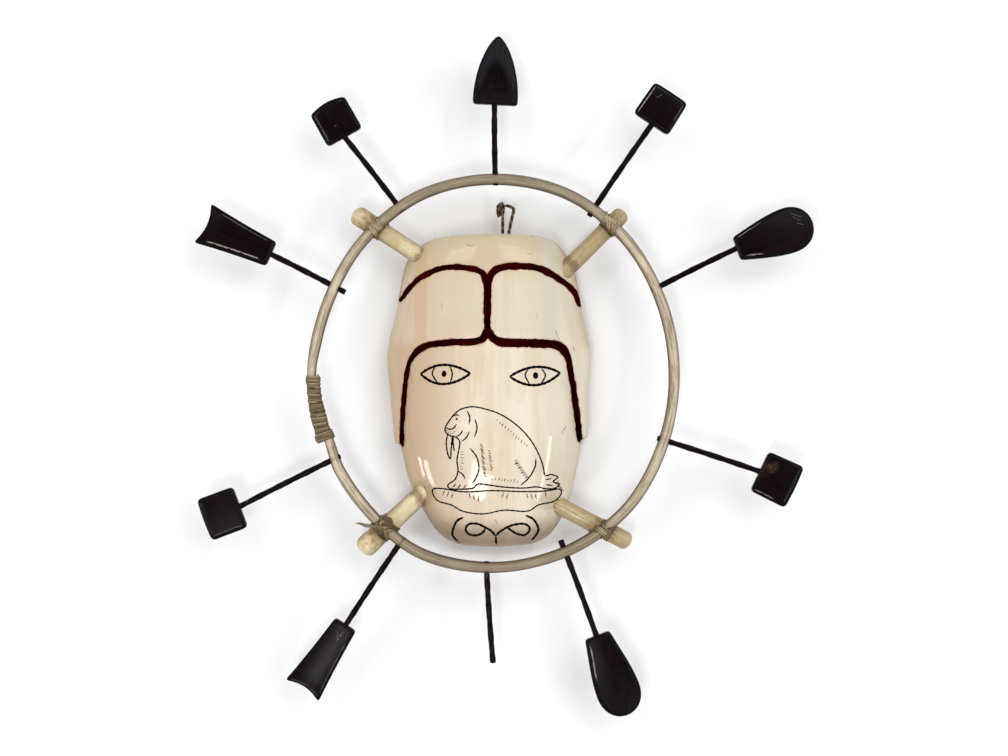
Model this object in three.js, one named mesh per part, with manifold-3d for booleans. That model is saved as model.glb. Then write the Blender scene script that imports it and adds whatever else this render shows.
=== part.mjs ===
// A small carved ivory spirit mask in a bent wooden hoop, lying on its flat sawn back with the face up.
// Four round pegs carry the hoop, and ten thin stems stand out of it, nine of them with a black blade.
// Millimetres: +X to the right of the face, +Y towards the crown, +Z out of the face, the back at Z 0.
import * as THREE from "three";
import { mergeVertices } from "three/addons/utils/BufferGeometryUtils.js";
import Module from "manifold-3d";

const wasm = await Module();
wasm.setup();

// Fits: what a peg, stem or cord leaves free in its hole, and what a winding leaves round what it binds
const holeGap = 0.15;
const holeEndGap = 0.3;

// Mask: a slab of ivory with a flat back, upright sides and a face that rolls over to them
const maskMiddle = -4.2;
const sideHeight = 6;
const faceSquareness = 2.2;
const backArris = 0.8;
const faceSteps = 14;
// From chin to crown: [place along Y, reach to the left, reach to the right, depth of the crest]
const maskStations = [
  [-49.3, 6.8, 8.8, 8.0],
  [-48.9, 9.2, 11.6, 9.2],
  [-48.1, 11.6, 14.1, 10.8],
  [-46.6, 14.1, 16.8, 12.9],
  [-44.5, 16.2, 18.8, 14.9],
  [-41.0, 18.5, 20.9, 16.7],
  [-36.0, 21.3, 23.0, 17.9],
  [-30.0, 24.0, 24.7, 18.6],
  [-24.5, 25.4, 25.7, 18.9],
  [-19.5, 26.3, 26.4, 19.0],
  [-15.0, 26.9, 26.8, 19.1],
  [-4.0, 27.9, 26.8, 19.1],
  [5.0, 28.6, 27.6, 19.1],
  [13.0, 28.1, 27.2, 19.1],
  [20.0, 27.2, 26.5, 19.1],
  [26.0, 26.3, 25.7, 19.1],
  [32.3, 25.0, 24.1, 19.0],
  [36.1, 23.2, 22.0, 18.7],
  [39.0, 20.1, 19.8, 18.0],
  [40.8, 16.7, 17.6, 17.0],
  [41.6, 13.2, 14.3, 15.7],
  [41.95, 9.5, 10.5, 14.6],
];
const maskRings = 25;

// Hood: two raised panels, left and right of the middle groove, that run down as flaps beside the face
const hoodFirstStation = 8;
const hoodLastStation = 17;
const hoodRings = 12;
const hoodReliefLow = 1.7;
const hoodReliefHigh = 0.7;
const hoodLowY = -19.5;
const hoodHighY = 24;
const hoodOuterX = 45;
const panelSteps = 14;
// Each panel: its upper edge from the groove out to the side, and its brow edge from the side back in
const hoodPanels = [
  {
    side: -1,
    upper: [[-5.4, 27.4], [-6.7, 30.2], [-10.2, 31.5], [-17.7, 31.7], [-25.2, 28.5], [-30.4, 22.9]],
    brow: [[-30.4, -19.3], [-30.2, -12.5], [-29.1, -0.9], [-27.4, 5.7], [-23.1, 9.6], [-15.8, 10.6],
      [-7.7, 11.2], [-5.4, 14.0]],
  },
  {
    side: 1,
    upper: [[-4.7, 27.6], [-3.5, 30.3], [-0.7, 31.9], [7.6, 32.1], [14.1, 29.8], [19.9, 25.6], [21.9, 21.8]],
    brow: [[22.1, -17.9], [20.7, -6.6], [19.3, 2.0], [18.3, 7.0], [15.3, 9.9], [8.6, 10.5], [-1.0, 10.8],
      [-4.7, 13.8]],
  },
];

// Pegs: round ivory rods let into the mask's sides, each with a rounded outer end
const pegHeight = 11;
const pegDepth = 5;
const pegSides = 12;
const pegStations = [0.35, 0.55, 0.75];
const domeShare = 0.8;
const domeSteps = 4;
const pegs = [
  { name: "top_left", root: [-24.5, 35.4], end: [-44.3, 48.3], radius: 2.5, endRadius: 2.85 },
  { name: "top_right", root: [19.4, 33.1], end: [35.0, 48.6], radius: 2.5, endRadius: 2.5 },
  { name: "bottom_left", root: [-25.0, -34.5], end: [-42.0, -50.6], radius: 2.6, endRadius: 3.2 },
  { name: "bottom_right", root: [13.5, -36.1], end: [36.8, -48.3], radius: 2.5, endRadius: 2.65 },
];

// Hoop: one thin rod bent round, its two pared ends lying side by side on the left under a winding
const hoopMiddle = [-3.4, 1.6];
const hoopRadius = 1.65;
const hoopHeight = 15.6;
const hoopSides = 8;
const hoopRings = 92;
// Distance from the hoop's middle to its centreline, every 22.5 degrees from the right, anticlockwise
const hoopReach = [
  52.5, 52.9, 54.5, 56.0, 56.0, 55.5, 53.6, 52.0, 52.2, 52.3, 53.7, 56.4, 56.5, 56.0, 55.3, 53.4,
];

// Splice: where the ends overlap, as turns of the hoop, and each end's half width at its root and at its tip
const spliceTop = 180.5 / 360;
const spliceBottom = 202.2 / 360;
const outerEnd = { root: 1.35, tip: 0.75 };
const innerEnd = { root: 1.45, tip: 0.25 };
const endGap = 0.2;
const spliceRoom = 0.2;
const spliceWall = 0.2;
const spliceEase = 0.5;
const spliceBare = 0.06;
const paredHeight = { root: 1.25, tip: 0.8 };
const wrapSides = 12;
const wrapRings = 6;

// Lashings: each is two flat windings of sinew over the hoop and under the peg, of these widths
const sinewThickness = 0.7;
const windingSteps = 8;
const windingLift = 0.3;
const crossingTries = 720;
const lashings = [
  { peg: 0, widths: [2.0, 2.2], tail: null },
  { peg: 1, widths: [2.0, 2.2], tail: null },
  { peg: 2, widths: [2.2, 2.4], tail: [-43.4, -42.2] },
  { peg: 3, widths: [1.4, 2.2], tail: null },
];

// Stems: thin rods through the hoop, from the stub inside it out to the blade or the bare end
const stemRadius = 0.8;
const stemSides = 8;
const stemTenon = 4;
const stems = [
  { name: "top", from: [-2.7, 55.8], to: [-2.9, 79.2] },
  { name: "upper_left", from: [-29.8, 48.4], to: [-46.4, 69.7] },
  { name: "upper_right", from: [24.4, 46.9], to: [42.5, 73.2] },
  { name: "left", from: [-46.2, 24.8], to: [-67.8, 35.8] },
  { name: "right", from: [43.6, 25.9], to: [67.2, 37.5] },
  { name: "lower_left", from: [-47.6, -22.6], to: [-76.8, -37.3] },
  { name: "lower_right", from: [44.2, -17.4], to: [73.8, -27.1] },
  { name: "bottom_left", from: [-30.4, -47.9], to: [-45.9, -71.4] },
  { name: "bottom_right", from: [16.2, -47.0], to: [26.5, -74.7] },
  { name: "bottom_middle", from: [-5.4, -53.1], to: [-3.4, -82.6] },
];

// Blades: flat black carvings, each set by the middle of its inner edge and its heading in degrees
const bladeThickness = 3.4;
const blades = [
  { name: "top", kind: "arch", at: [-2.8, 79.3], heading: 87, length: 19.3, inner: 12.7, outer: 9.0 },
  { name: "upper_left", kind: "square", at: [-46.35, 69.85], heading: 119.4, length: 10.3, inner: 11.2, outer: 11.1,
    bulge: 0.8 },
  { name: "upper_right", kind: "square", at: [42.35, 73.65], heading: 56.5, length: 10.5, inner: 11.7, outer: 11.2,
    bulge: 0.1 },
  { name: "left", kind: "fishtail", at: [-67.8, 35.95], heading: 155.6, length: 21.6, inner: 7.4, outer: 12.1 },
  { name: "right", kind: "teardrop", at: [67.35, 37.5], heading: 19.5, length: 23.0, inner: 6.8, outer: 13.0 },
  { name: "lower_left", kind: "square", at: [-76.8, -37.4], heading: 200.6, length: 10.7, inner: 12.3, outer: 12.4,
    bulge: 0.2 },
  { name: "lower_right", kind: "square", at: [74.0, -27.05], heading: -25.4, length: 10.8, inner: 12.4, outer: 12.8,
    bulge: 0.2 },
  { name: "bottom_left", kind: "fishtail", at: [-46.15, -71.5], heading: 236.6, length: 22.8, inner: 6.9,
    outer: 11.2 },
  { name: "bottom_right", kind: "teardrop", at: [26.8, -74.7], heading: -69.1, length: 24.4, inner: 7.3,
    outer: 12.6 },
];

// Hanging loop: a twisted sinew cord let through two holes in the crown's end, with its knot outside
const cordRadius = 0.4;
const cordHeight = 4.5;
const cordRoute = [
  [-0.62, 47.2], [-0.62, 44.6], [-0.62, 42.3], [-0.85, 40.4], [-1.25, 38.6], [-1.2, 36.9], [-0.4, 35.8],
  [0.6, 35.8], [1.55, 36.7], [1.8, 38.3], [1.5, 40.2], [1.2, 42.3], [1.65, 45.0], [2.3, 48.0], [2.5, 49.3],
  [2.2, 50.2], [1.5, 50.8], [0.6, 51.0],
];
const cordSteps = 30;
const knot = { at: [-1.15, 49.7], halfWidth: 1.25, halfLength: 2.2 };

// Colours and finishes
const ivory = new THREE.MeshStandardMaterial({ color: 0xe4d4be, roughness: 0.3, metalness: 0 });
const pegIvory = new THREE.MeshStandardMaterial({ color: 0xd7c391, roughness: 0.45, metalness: 0 });
const bentWood = new THREE.MeshStandardMaterial({ color: 0xaa9b82, roughness: 0.6, metalness: 0 });
const sinew = new THREE.MeshStandardMaterial({ color: 0x9c8563, roughness: 0.8, metalness: 0 });
const baleen = new THREE.MeshStandardMaterial({ color: 0x1a1518, roughness: 0.4, metalness: 0 });

// A geometry with each shared corner held once, which stays closed wherever it is moved to
function welded(geometry) {
  geometry.deleteAttribute("normal");
  geometry.deleteAttribute("uv");
  return mergeVertices(geometry, 1e-4);
}

// A closed solid from a welded geometry whose faces point out
function solidOf(geometry) {
  return new wasm.Manifold(new wasm.Mesh({
    numProp: 3,
    vertProperties: geometry.attributes.position.array,
    triVerts: new Uint32Array(geometry.index.array),
  }));
}

function geometryOf(solid) {
  const mesh = solid.getMesh();
  const geometry = new THREE.BufferGeometry();
  const corners = new Float32Array(mesh.vertProperties);
  geometry.setAttribute("position", new THREE.BufferAttribute(corners, mesh.numProp));
  geometry.setIndex(new THREE.BufferAttribute(new Uint32Array(mesh.triVerts), 1));
  return geometry;
}

// Skins a row of rings, all with as many points. An endless row joins its last ring to its first.
function skin(rings, endless = false) {
  const sides = rings[0].length;
  const points = rings.flat();
  const index = [];
  const bands = endless ? rings.length : rings.length - 1;
  for (let i = 0; i < bands; i++) {
    const next = (i + 1) % rings.length;
    for (let j = 0; j < sides; j++) {
      const k = (j + 1) % sides;
      index.push(i * sides + j, i * sides + k, next * sides + k);
      index.push(i * sides + j, next * sides + k, next * sides + j);
    }
  }
  if (!endless) {
    for (const [row, turned] of [[0, true], [rings.length - 1, false]]) {
      const middle = new THREE.Vector3();
      rings[row].forEach((p) => middle.addScaledVector(p, 1 / sides));
      points.push(middle);
      for (let j = 0; j < sides; j++) {
        const a = row * sides + j;
        const b = row * sides + ((j + 1) % sides);
        index.push(points.length - 1, turned ? b : a, turned ? a : b);
      }
    }
  }
  const geometry = new THREE.BufferGeometry().setFromPoints(points);
  geometry.setIndex(index);
  return geometry;
}

// Turns a geometry's faces round where they were wound inwards
function facingOut(geometry) {
  if (solidOf(geometry).volume() > 0) return geometry;
  const index = geometry.index.array;
  for (let i = 0; i < index.length; i += 3) {
    [index[i + 1], index[i + 2]] = [index[i + 2], index[i + 1]];
  }
  return geometry;
}

const mix = THREE.MathUtils.lerp;

function lineCurve(points, z) {
  return new THREE.CatmullRomCurve3(points.map(([x, y]) => new THREE.Vector3(x, y, z)));
}

// One cross-section of the mask: the flat back, an upright side, the face in a squared arch, the other side
function maskRing(y, left, right, crest) {
  const ring = [new THREE.Vector3(maskMiddle + right - backArris, y, 0)];
  ring.push(new THREE.Vector3(maskMiddle + right, y, backArris));
  for (let i = 0; i <= faceSteps; i++) {
    const angle = (Math.PI * i) / faceSteps;
    const across = Math.abs(Math.cos(angle)) ** (2 / faceSquareness);
    const up = Math.sin(angle) ** (2 / faceSquareness);
    const x = i < faceSteps / 2 ? right * across : -left * across;
    ring.push(new THREE.Vector3(maskMiddle + x, y, sideHeight + (crest - sideHeight) * up));
  }
  ring.push(new THREE.Vector3(maskMiddle - left, y, backArris));
  ring.push(new THREE.Vector3(maskMiddle - left + backArris, y, 0));
  return ring;
}

// How far the hood stands out of the face at a place along Y
function hoodRelief(y) {
  return mix(hoodReliefLow, hoodReliefHigh, THREE.MathUtils.smoothstep(y, hoodLowY, hoodHighY));
}

// The mask's block between two stations, grown by the hood's relief where that is asked for
function maskBlock(first, last, steps, withHood) {
  const reaches = new THREE.CatmullRomCurve3(maskStations.map(([y, l, r]) => new THREE.Vector3(y, l, r)));
  const crests = new THREE.CatmullRomCurve3(maskStations.map(([y, , , c]) => new THREE.Vector3(y, c, 0)));
  reaches.curveType = "catmullrom";
  crests.curveType = "catmullrom";
  const rings = [];
  for (let i = 0; i <= steps; i++) {
    const t = mix(first, last, i / steps) / (maskStations.length - 1);
    const reach = reaches.getPoint(t);
    const relief = withHood ? hoodRelief(reach.x) : 0;
    rings.push(maskRing(reach.x, reach.y + relief, reach.z + relief, crests.getPoint(t).y + relief));
  }
  return solidOf(facingOut(skin(rings)));
}

// A hood panel seen from the front, stretched through the mask's whole depth
function panelPrism(panel) {
  const [upper, brow] = [panel.upper, panel.brow].map((points) => {
    const curve = new THREE.SplineCurve(points.map(([x, y]) => new THREE.Vector2(x, y)));
    return curve.getPoints(panelSteps);
  });
  const outer = [
    new THREE.Vector2(panel.side * hoodOuterX, upper.at(-1).y),
    new THREE.Vector2(panel.side * hoodOuterX, brow[0].y),
  ];
  const shape = new THREE.Shape([...upper, ...outer, ...brow]);
  const depth = 30;
  const prism = new THREE.ExtrudeGeometry(shape, { depth, bevelEnabled: false });
  prism.translate(0, 0, -depth / 4);
  return solidOf(welded(prism));
}

// A round peg with a dome at its outer end, placed along its axis
function pegGeometry(peg, grow) {
  const root = new THREE.Vector3(...peg.root, pegHeight);
  const end = new THREE.Vector3(...peg.end, pegHeight);
  const along = end.clone().sub(root).normalize();
  const inner = root.clone().addScaledVector(along, -pegDepth - (grow ? holeEndGap : 0));
  const length = inner.distanceTo(end);
  const dome = peg.endRadius * domeShare;
  const profile = [new THREE.Vector2(0, 0), new THREE.Vector2(peg.radius + grow, 0)];
  for (const part of pegStations) {
    profile.push(new THREE.Vector2(mix(peg.radius, peg.endRadius, part) + grow, length * part));
  }
  for (let i = 0; i <= domeSteps; i++) {
    const angle = (Math.PI / 2) * (i / domeSteps);
    const radius = i < domeSteps ? (peg.endRadius + grow) * Math.cos(angle) : 0;
    profile.push(new THREE.Vector2(radius, length - dome + dome * Math.sin(angle)));
  }
  const geometry = welded(new THREE.LatheGeometry(profile, pegSides));
  geometry.applyQuaternion(new THREE.Quaternion().setFromUnitVectors(new THREE.Vector3(0, 1, 0), along));
  geometry.translate(...inner.toArray());
  return geometry;
}

// A straight round rod between two places at the hoop's height
function rodGeometry(from, to, radius, sides) {
  const start = new THREE.Vector3(...from, hoopHeight);
  const end = new THREE.Vector3(...to, hoopHeight);
  const along = end.clone().sub(start);
  const geometry = welded(new THREE.CylinderGeometry(radius, radius, along.length(), sides));
  const up = new THREE.Vector3(0, 1, 0);
  geometry.applyQuaternion(new THREE.Quaternion().setFromUnitVectors(up, along.clone().normalize()));
  geometry.translate(...start.lerp(end, 0.5).toArray());
  return geometry;
}

// A stem with its tenon in the blade, or the hole that it needs
function stemGeometry(stem, grow) {
  const from = new THREE.Vector2(...stem.from);
  const to = new THREE.Vector2(...stem.to);
  const along = to.clone().sub(from).normalize();
  const hasBlade = blades.some((blade) => blade.name === stem.name);
  to.addScaledVector(along, (hasBlade ? stemTenon : 0) + (grow ? holeEndGap : 0));
  if (grow) from.addScaledVector(along, -holeEndGap);
  return rodGeometry(from.toArray(), to.toArray(), stemRadius + grow, stemSides);
}

// The hoop's centreline: a turn of 0 is at the right, 0.25 at the top
const hoopLine = new THREE.CatmullRomCurve3(hoopReach.map((reach, i) => {
  const angle = (2 * Math.PI * i) / hoopReach.length;
  const x = hoopMiddle[0] + reach * Math.cos(angle);
  return new THREE.Vector3(x, hoopMiddle[1] + reach * Math.sin(angle), hoopHeight);
}), true, "catmullrom");

function hoopPlace(turn) {
  const wrapped = turn - Math.floor(turn);
  const at = hoopLine.getPoint(wrapped);
  const along = hoopLine.getTangent(wrapped);
  return { at, along, out: new THREE.Vector3(along.y, -along.x, 0) };
}

// A ring of the rod at a turn: half width across, half height, and how far it stands off the centreline
function rodRing(turn, halfWidth, halfHeight, off, sides) {
  const { at, out } = hoopPlace(turn);
  const middle = at.clone().addScaledVector(out, off);
  const ring = [];
  for (let j = 0; j < sides; j++) {
    const angle = (2 * Math.PI * j) / sides;
    const point = middle.clone().addScaledVector(out, halfWidth * Math.cos(angle));
    point.z += halfHeight * Math.sin(angle);
    ring.push(point);
  }
  return ring;
}

// Half widths of the two pared ends where they lie together, at 0 for the splice's top and 1 for its bottom
function outerHalf(place) {
  return mix(outerEnd.root, outerEnd.tip, place);
}

function innerHalf(place) {
  return mix(innerEnd.tip, innerEnd.root, place);
}

function hoopSolid() {
  const overlap = spliceBottom - spliceTop;
  const rings = [];
  for (let i = 0; i <= hoopRings; i++) {
    const travelled = ((1 + overlap) * i) / hoopRings;
    const left = 1 + overlap - travelled;
    const turn = spliceBottom - travelled;
    let halfWidth = hoopRadius;
    let halfHeight = hoopRadius;
    let off = 0;
    const fromOuterTip = travelled / overlap;
    const fromInnerTip = left / overlap;
    if (fromOuterTip < 1 + spliceEase) {
      const place = Math.max(0, 1 - fromOuterTip);
      const ease = THREE.MathUtils.smoothstep(fromOuterTip, 1, 1 + spliceEase);
      halfWidth = mix(outerHalf(place), hoopRadius, ease);
      halfHeight = mix(mix(paredHeight.root, paredHeight.tip, place), hoopRadius, ease);
      off = mix(innerHalf(place) + endGap / 2, 0, ease);
    } else if (fromInnerTip < 1 + spliceEase) {
      const place = Math.min(1, fromInnerTip);
      const ease = THREE.MathUtils.smoothstep(fromInnerTip, 1, 1 + spliceEase);
      halfWidth = mix(innerHalf(place), hoopRadius, ease);
      halfHeight = mix(mix(paredHeight.tip, paredHeight.root, place), hoopRadius, ease);
      off = mix(-outerHalf(place) - endGap / 2, 0, ease);
    }
    rings.push(rodRing(turn, halfWidth, halfHeight, off, hoopSides));
  }
  let solid = solidOf(facingOut(skin(rings)));
  for (const stem of stems) {
    solid = solid.subtract(solidOf(stemGeometry(stem, holeGap)));
  }
  return solid;
}

// The winding over the splice: an open sleeve round both pared ends
function spliceWrap() {
  const rings = (wall, from, to) => {
    const row = [];
    for (let i = 0; i <= wrapRings; i++) {
      const place = mix(from, to, i / wrapRings);
      const inside = Math.min(1, Math.max(0, place));
      const halfWidth = outerHalf(inside) + innerHalf(inside) + endGap / 2 + spliceRoom + wall;
      const halfHeight = hoopRadius + spliceRoom + wall;
      row.push(rodRing(mix(spliceTop, spliceBottom, place), halfWidth, halfHeight, 0, wrapSides));
    }
    return solidOf(facingOut(skin(row)));
  };
  return rings(spliceWall, spliceBare, 1 - spliceBare).subtract(rings(0, -spliceBare, 1 + spliceBare));
}

// Where the hoop passes over a peg
function crossing(peg) {
  const root = new THREE.Vector2(...peg.root);
  const along = new THREE.Vector2(...peg.end).sub(root).normalize();
  let best = null;
  for (let i = 0; i < crossingTries; i++) {
    const place = { turn: i / crossingTries, ...hoopPlace(i / crossingTries) };
    const away = new THREE.Vector2(place.at.x, place.at.y).sub(root);
    const miss = Math.abs(away.cross(along));
    if (away.dot(along) > 0 && (!best || miss < best.miss)) best = { ...place, miss };
  }
  return { ...best, peg: new THREE.Vector3(along.x, along.y, 0) };
}

// One flat turn of sinew: over the hoop, down in one corner of the crossing, under the peg and up in the
// corner across from it. hand is 1 or -1, for the two pairs of corners.
function windingSolid(cross, peg, hand, width, lift) {
  const clear = holeGap + lift + sinewThickness / 2;
  const pegRadius = mix(peg.radius, peg.endRadius, 0.7);
  const across = cross.along.clone().multiplyScalar(pegRadius).addScaledVector(cross.peg, hand * hoopRadius);
  across.normalize();
  const side = new THREE.Vector3(-across.y, across.x, 0);
  const rounds = [
    { radius: hoopRadius, height: hoopHeight, line: cross.along },
    { radius: pegRadius, height: pegHeight, line: cross.peg },
  ].map(({ radius, height, line }) => ({
    height,
    wide: radius / Math.abs(side.dot(line)) + clear,
    tall: radius + clear,
  }));
  const rings = [];
  for (let i = 0; i < windingSteps; i++) {
    const turn = (2 * Math.PI * (i + 0.5)) / windingSteps;
    const cos = Math.cos(turn);
    const sin = Math.sin(turn);
    const reach = ({ wide, tall, height }) => Math.hypot(wide * cos, tall * sin) + height * sin;
    const round = reach(rounds[0]) > reach(rounds[1]) ? rounds[0] : rounds[1];
    const size = Math.hypot(round.wide * cos, round.tall * sin);
    const middle = new THREE.Vector3(cross.at.x, cross.at.y, round.height + (round.tall ** 2 * sin) / size);
    middle.addScaledVector(across, (round.wide ** 2 * cos) / size);
    const away = across.clone().multiplyScalar(cos);
    away.z = sin;
    rings.push([[1, -1], [1, 1], [-1, 1], [-1, -1]].map(([sideways, outwards]) => {
      const corner = middle.clone().addScaledVector(side, (sideways * width) / 2);
      return corner.addScaledVector(away, (outwards * sinewThickness) / 2);
    }));
  }
  return solidOf(facingOut(skin(rings, true)));
}

function lashingSolid(lashing) {
  const hoopStep = 1 / hoopRings;
  const peg = pegs[lashing.peg];
  const cross = crossing(peg);
  let solid = null;
  lashing.widths.forEach((width, i) => {
    const winding = windingSolid(cross, peg, i ? -1 : 1, width, windingLift * i);
    solid = solid ? solid.add(winding) : winding;
  });
  if (lashing.tail) {
    const tip = new THREE.Vector3(...lashing.tail, hoopHeight);
    const start = cross.at.clone().setZ(hoopHeight);
    const along = tip.clone().sub(start).normalize();
    start.addScaledVector(along, hoopRadius + holeGap + sinewThickness);
    const tail = welded(new THREE.ConeGeometry(sinewThickness, start.distanceTo(tip), 8));
    tail.applyQuaternion(new THREE.Quaternion().setFromUnitVectors(new THREE.Vector3(0, 1, 0), along));
    tail.translate(...start.lerp(tip, 0.5).toArray());
    solid = solid.add(solidOf(tail));
  }
  const bound = [];
  for (let i = -2; i <= 2; i++) {
    bound.push(rodRing(cross.turn + i * hoopStep, hoopRadius + holeGap, hoopRadius + holeGap, 0, hoopSides));
  }
  const hoopRoom = solidOf(facingOut(skin(bound)));
  return solid.subtract(hoopRoom).subtract(solidOf(pegGeometry(peg, holeGap)));
}

// Outlines of the blades: x runs out from the middle of the inner edge, y across
function squareOutline({ length, inner, outer, bulge }) {
  const corner = 0.9;
  const shape = new THREE.Shape();
  shape.moveTo(0, corner - inner / 2);
  shape.quadraticCurveTo(0, -inner / 2, corner, -inner / 2);
  shape.lineTo(length - corner, -outer / 2);
  shape.quadraticCurveTo(length, -outer / 2, length, corner - outer / 2);
  shape.quadraticCurveTo(length + 2 * bulge, 0, length, outer / 2 - corner);
  shape.quadraticCurveTo(length, outer / 2, length - corner, outer / 2);
  shape.lineTo(corner, inner / 2);
  shape.quadraticCurveTo(0, inner / 2, 0, inner / 2 - corner);
  return shape;
}

function fishtailOutline({ length, inner, outer }) {
  const waist = mix(inner, outer, 0.36);
  const shape = new THREE.Shape();
  shape.moveTo(0, -inner / 2);
  shape.quadraticCurveTo(length * 0.55, -waist / 2, length, -outer / 2);
  shape.quadraticCurveTo(length - 3, 0, length, outer / 2);
  shape.quadraticCurveTo(length * 0.55, waist / 2, 0, inner / 2);
  return shape;
}

function teardropOutline({ length, inner, outer }) {
  const widest = length * 0.7;
  const shape = new THREE.Shape();
  shape.moveTo(0, -inner / 2);
  shape.bezierCurveTo(length * 0.3, -outer * 0.4, length * 0.5, -outer / 2, widest, -outer / 2);
  shape.bezierCurveTo(length * 0.88, -outer / 2, length, -outer * 0.28, length, 0);
  shape.bezierCurveTo(length, outer * 0.28, length * 0.88, outer / 2, widest, outer / 2);
  shape.bezierCurveTo(length * 0.5, outer / 2, length * 0.3, outer * 0.4, 0, inner / 2);
  return shape;
}

function archOutline({ length, inner, outer }) {
  const shape = new THREE.Shape();
  shape.moveTo(0, -inner / 2);
  shape.bezierCurveTo(length * 0.3, -inner / 2, length * 0.64, -outer * 0.52, length, 0);
  shape.bezierCurveTo(length * 0.64, outer * 0.52, length * 0.3, inner / 2, 0, inner / 2);
  return shape;
}

const bladeForms = {
  square: { outline: squareOutline, rim: 0.55, rimSteps: 1, curveSteps: 3 },
  fishtail: { outline: fishtailOutline, rim: 0.8, rimSteps: 1, curveSteps: 5 },
  teardrop: { outline: teardropOutline, rim: 1.3, rimSteps: 2, curveSteps: 4 },
  arch: { outline: archOutline, rim: 1.1, rimSteps: 1, curveSteps: 6 },
};

// The hollow carved in the top blade's face, wide at the base and fading out towards the tip
function archHollow(blade) {
  const ball = welded(new THREE.SphereGeometry(1, 12, 8));
  ball.scale(6.4, 3.6, 1.3);
  return ball.translate(blade.length * 0.38, 0, bladeThickness / 2 + 0.3);
}

// Moves a form from the blade's own place, at the middle of its inner edge, to where the blade is
function placeOn(blade, geometry) {
  geometry.rotateZ(THREE.MathUtils.degToRad(blade.heading));
  return solidOf(geometry.translate(...blade.at, hoopHeight));
}

function bladeSolid(blade) {
  const form = bladeForms[blade.kind];
  const geometry = welded(new THREE.ExtrudeGeometry(form.outline(blade), {
    depth: bladeThickness - 2 * form.rim,
    curveSegments: form.curveSteps,
    bevelEnabled: true,
    bevelThickness: form.rim,
    bevelSize: form.rim,
    bevelOffset: -form.rim,
    bevelSegments: form.rimSteps,
  }));
  geometry.translate(0, 0, form.rim - bladeThickness / 2);
  const solid = placeOn(blade, geometry);
  const stem = stems.find(({ name }) => name === blade.name);
  const socketed = solid.subtract(solidOf(stemGeometry(stem, holeGap)));
  return blade.kind === "arch" ? socketed.subtract(placeOn(blade, archHollow(blade))) : socketed;
}

// The loop's cord, or the tunnel that it needs, swept along its route
function cordGeometry(radius) {
  const section = new THREE.Shape();
  for (let i = 0; i < 8; i++) {
    const angle = (2 * Math.PI * (i + 0.5)) / 8;
    const method = i ? "lineTo" : "moveTo";
    section[method](radius * Math.cos(angle), radius * Math.sin(angle));
  }
  const extrudePath = lineCurve(cordRoute, cordHeight);
  return welded(new THREE.ExtrudeGeometry(section, { steps: cordSteps, extrudePath }));
}

function knotGeometry() {
  const ball = welded(new THREE.SphereGeometry(1, 12, 8));
  ball.scale(knot.halfWidth, knot.halfLength, knot.halfWidth);
  ball.translate(...knot.at, cordHeight);
  return ball;
}

function maskSolid() {
  const last = maskStations.length - 1;
  let solid = maskBlock(0, last, maskRings, false);
  const hood = maskBlock(hoodFirstStation, hoodLastStation, hoodRings, true);
  for (const panel of hoodPanels) {
    solid = solid.add(hood.intersect(panelPrism(panel)));
  }
  for (const peg of pegs) {
    solid = solid.subtract(solidOf(pegGeometry(peg, holeGap)));
  }
  return solid.subtract(solidOf(cordGeometry(cordRadius + holeGap)));
}

const group = new THREE.Group();

// Adds one piece, its facets flat
function put(name, geometry, material) {
  const faceted = geometry.toNonIndexed();
  faceted.computeVertexNormals();
  const mesh = new THREE.Mesh(faceted, material);
  mesh.name = name;
  group.add(mesh);
}

put("mask_face", geometryOf(maskSolid()), ivory);
for (const peg of pegs) put("peg_" + peg.name, pegGeometry(peg, 0), pegIvory);
put("hoop", geometryOf(hoopSolid()), bentWood);
put("splice_wrap", geometryOf(spliceWrap()), sinew);
for (const lashing of lashings) {
  put("lashing_" + pegs[lashing.peg].name, geometryOf(lashingSolid(lashing)), sinew);
}
for (const stem of stems) put("stem_" + stem.name, stemGeometry(stem, 0), baleen);
for (const blade of blades) put("blade_" + blade.name, geometryOf(bladeSolid(blade)), baleen);
put("hanging_loop", cordGeometry(cordRadius), sinew);
put("loop_knot", knotGeometry(), sinew);

export default group;
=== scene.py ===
# A small carved ivory spirit mask, lashed by four pegs inside a bent wooden hoop, with ten thin stems
# standing out of the hoop and a black baleen blade on nine of them. It lies on its flat sawn back.
# Millimetres below, turned to metres where a mesh is made: +X right of the face, +Y crown, +Z up.
import math
import random

import bmesh
import bpy
import numpy as np
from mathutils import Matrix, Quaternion, Vector
from mathutils.bvhtree import BVHTree


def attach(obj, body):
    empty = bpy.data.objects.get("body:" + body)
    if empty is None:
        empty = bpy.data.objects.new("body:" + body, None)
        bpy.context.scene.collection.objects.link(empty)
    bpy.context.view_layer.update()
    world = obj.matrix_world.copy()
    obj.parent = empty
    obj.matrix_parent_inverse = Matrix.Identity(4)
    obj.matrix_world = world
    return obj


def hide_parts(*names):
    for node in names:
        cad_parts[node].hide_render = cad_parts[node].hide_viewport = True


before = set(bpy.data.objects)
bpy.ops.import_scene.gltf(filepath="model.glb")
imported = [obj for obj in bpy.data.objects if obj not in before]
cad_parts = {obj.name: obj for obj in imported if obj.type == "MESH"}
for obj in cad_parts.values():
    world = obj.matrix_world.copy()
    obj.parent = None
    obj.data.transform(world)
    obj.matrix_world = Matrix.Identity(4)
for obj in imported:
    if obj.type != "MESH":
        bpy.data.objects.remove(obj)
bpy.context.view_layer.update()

# Camera
# It looks straight down on the mask from 600 mm above the hoop, which is how the photograph looks at it,
# with the middle of the picture a little left of the middle of the piece.
MM = 0.001
eye_point = (-0.22, 0.0, 615.45)
lens_mm = 73.9

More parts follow.
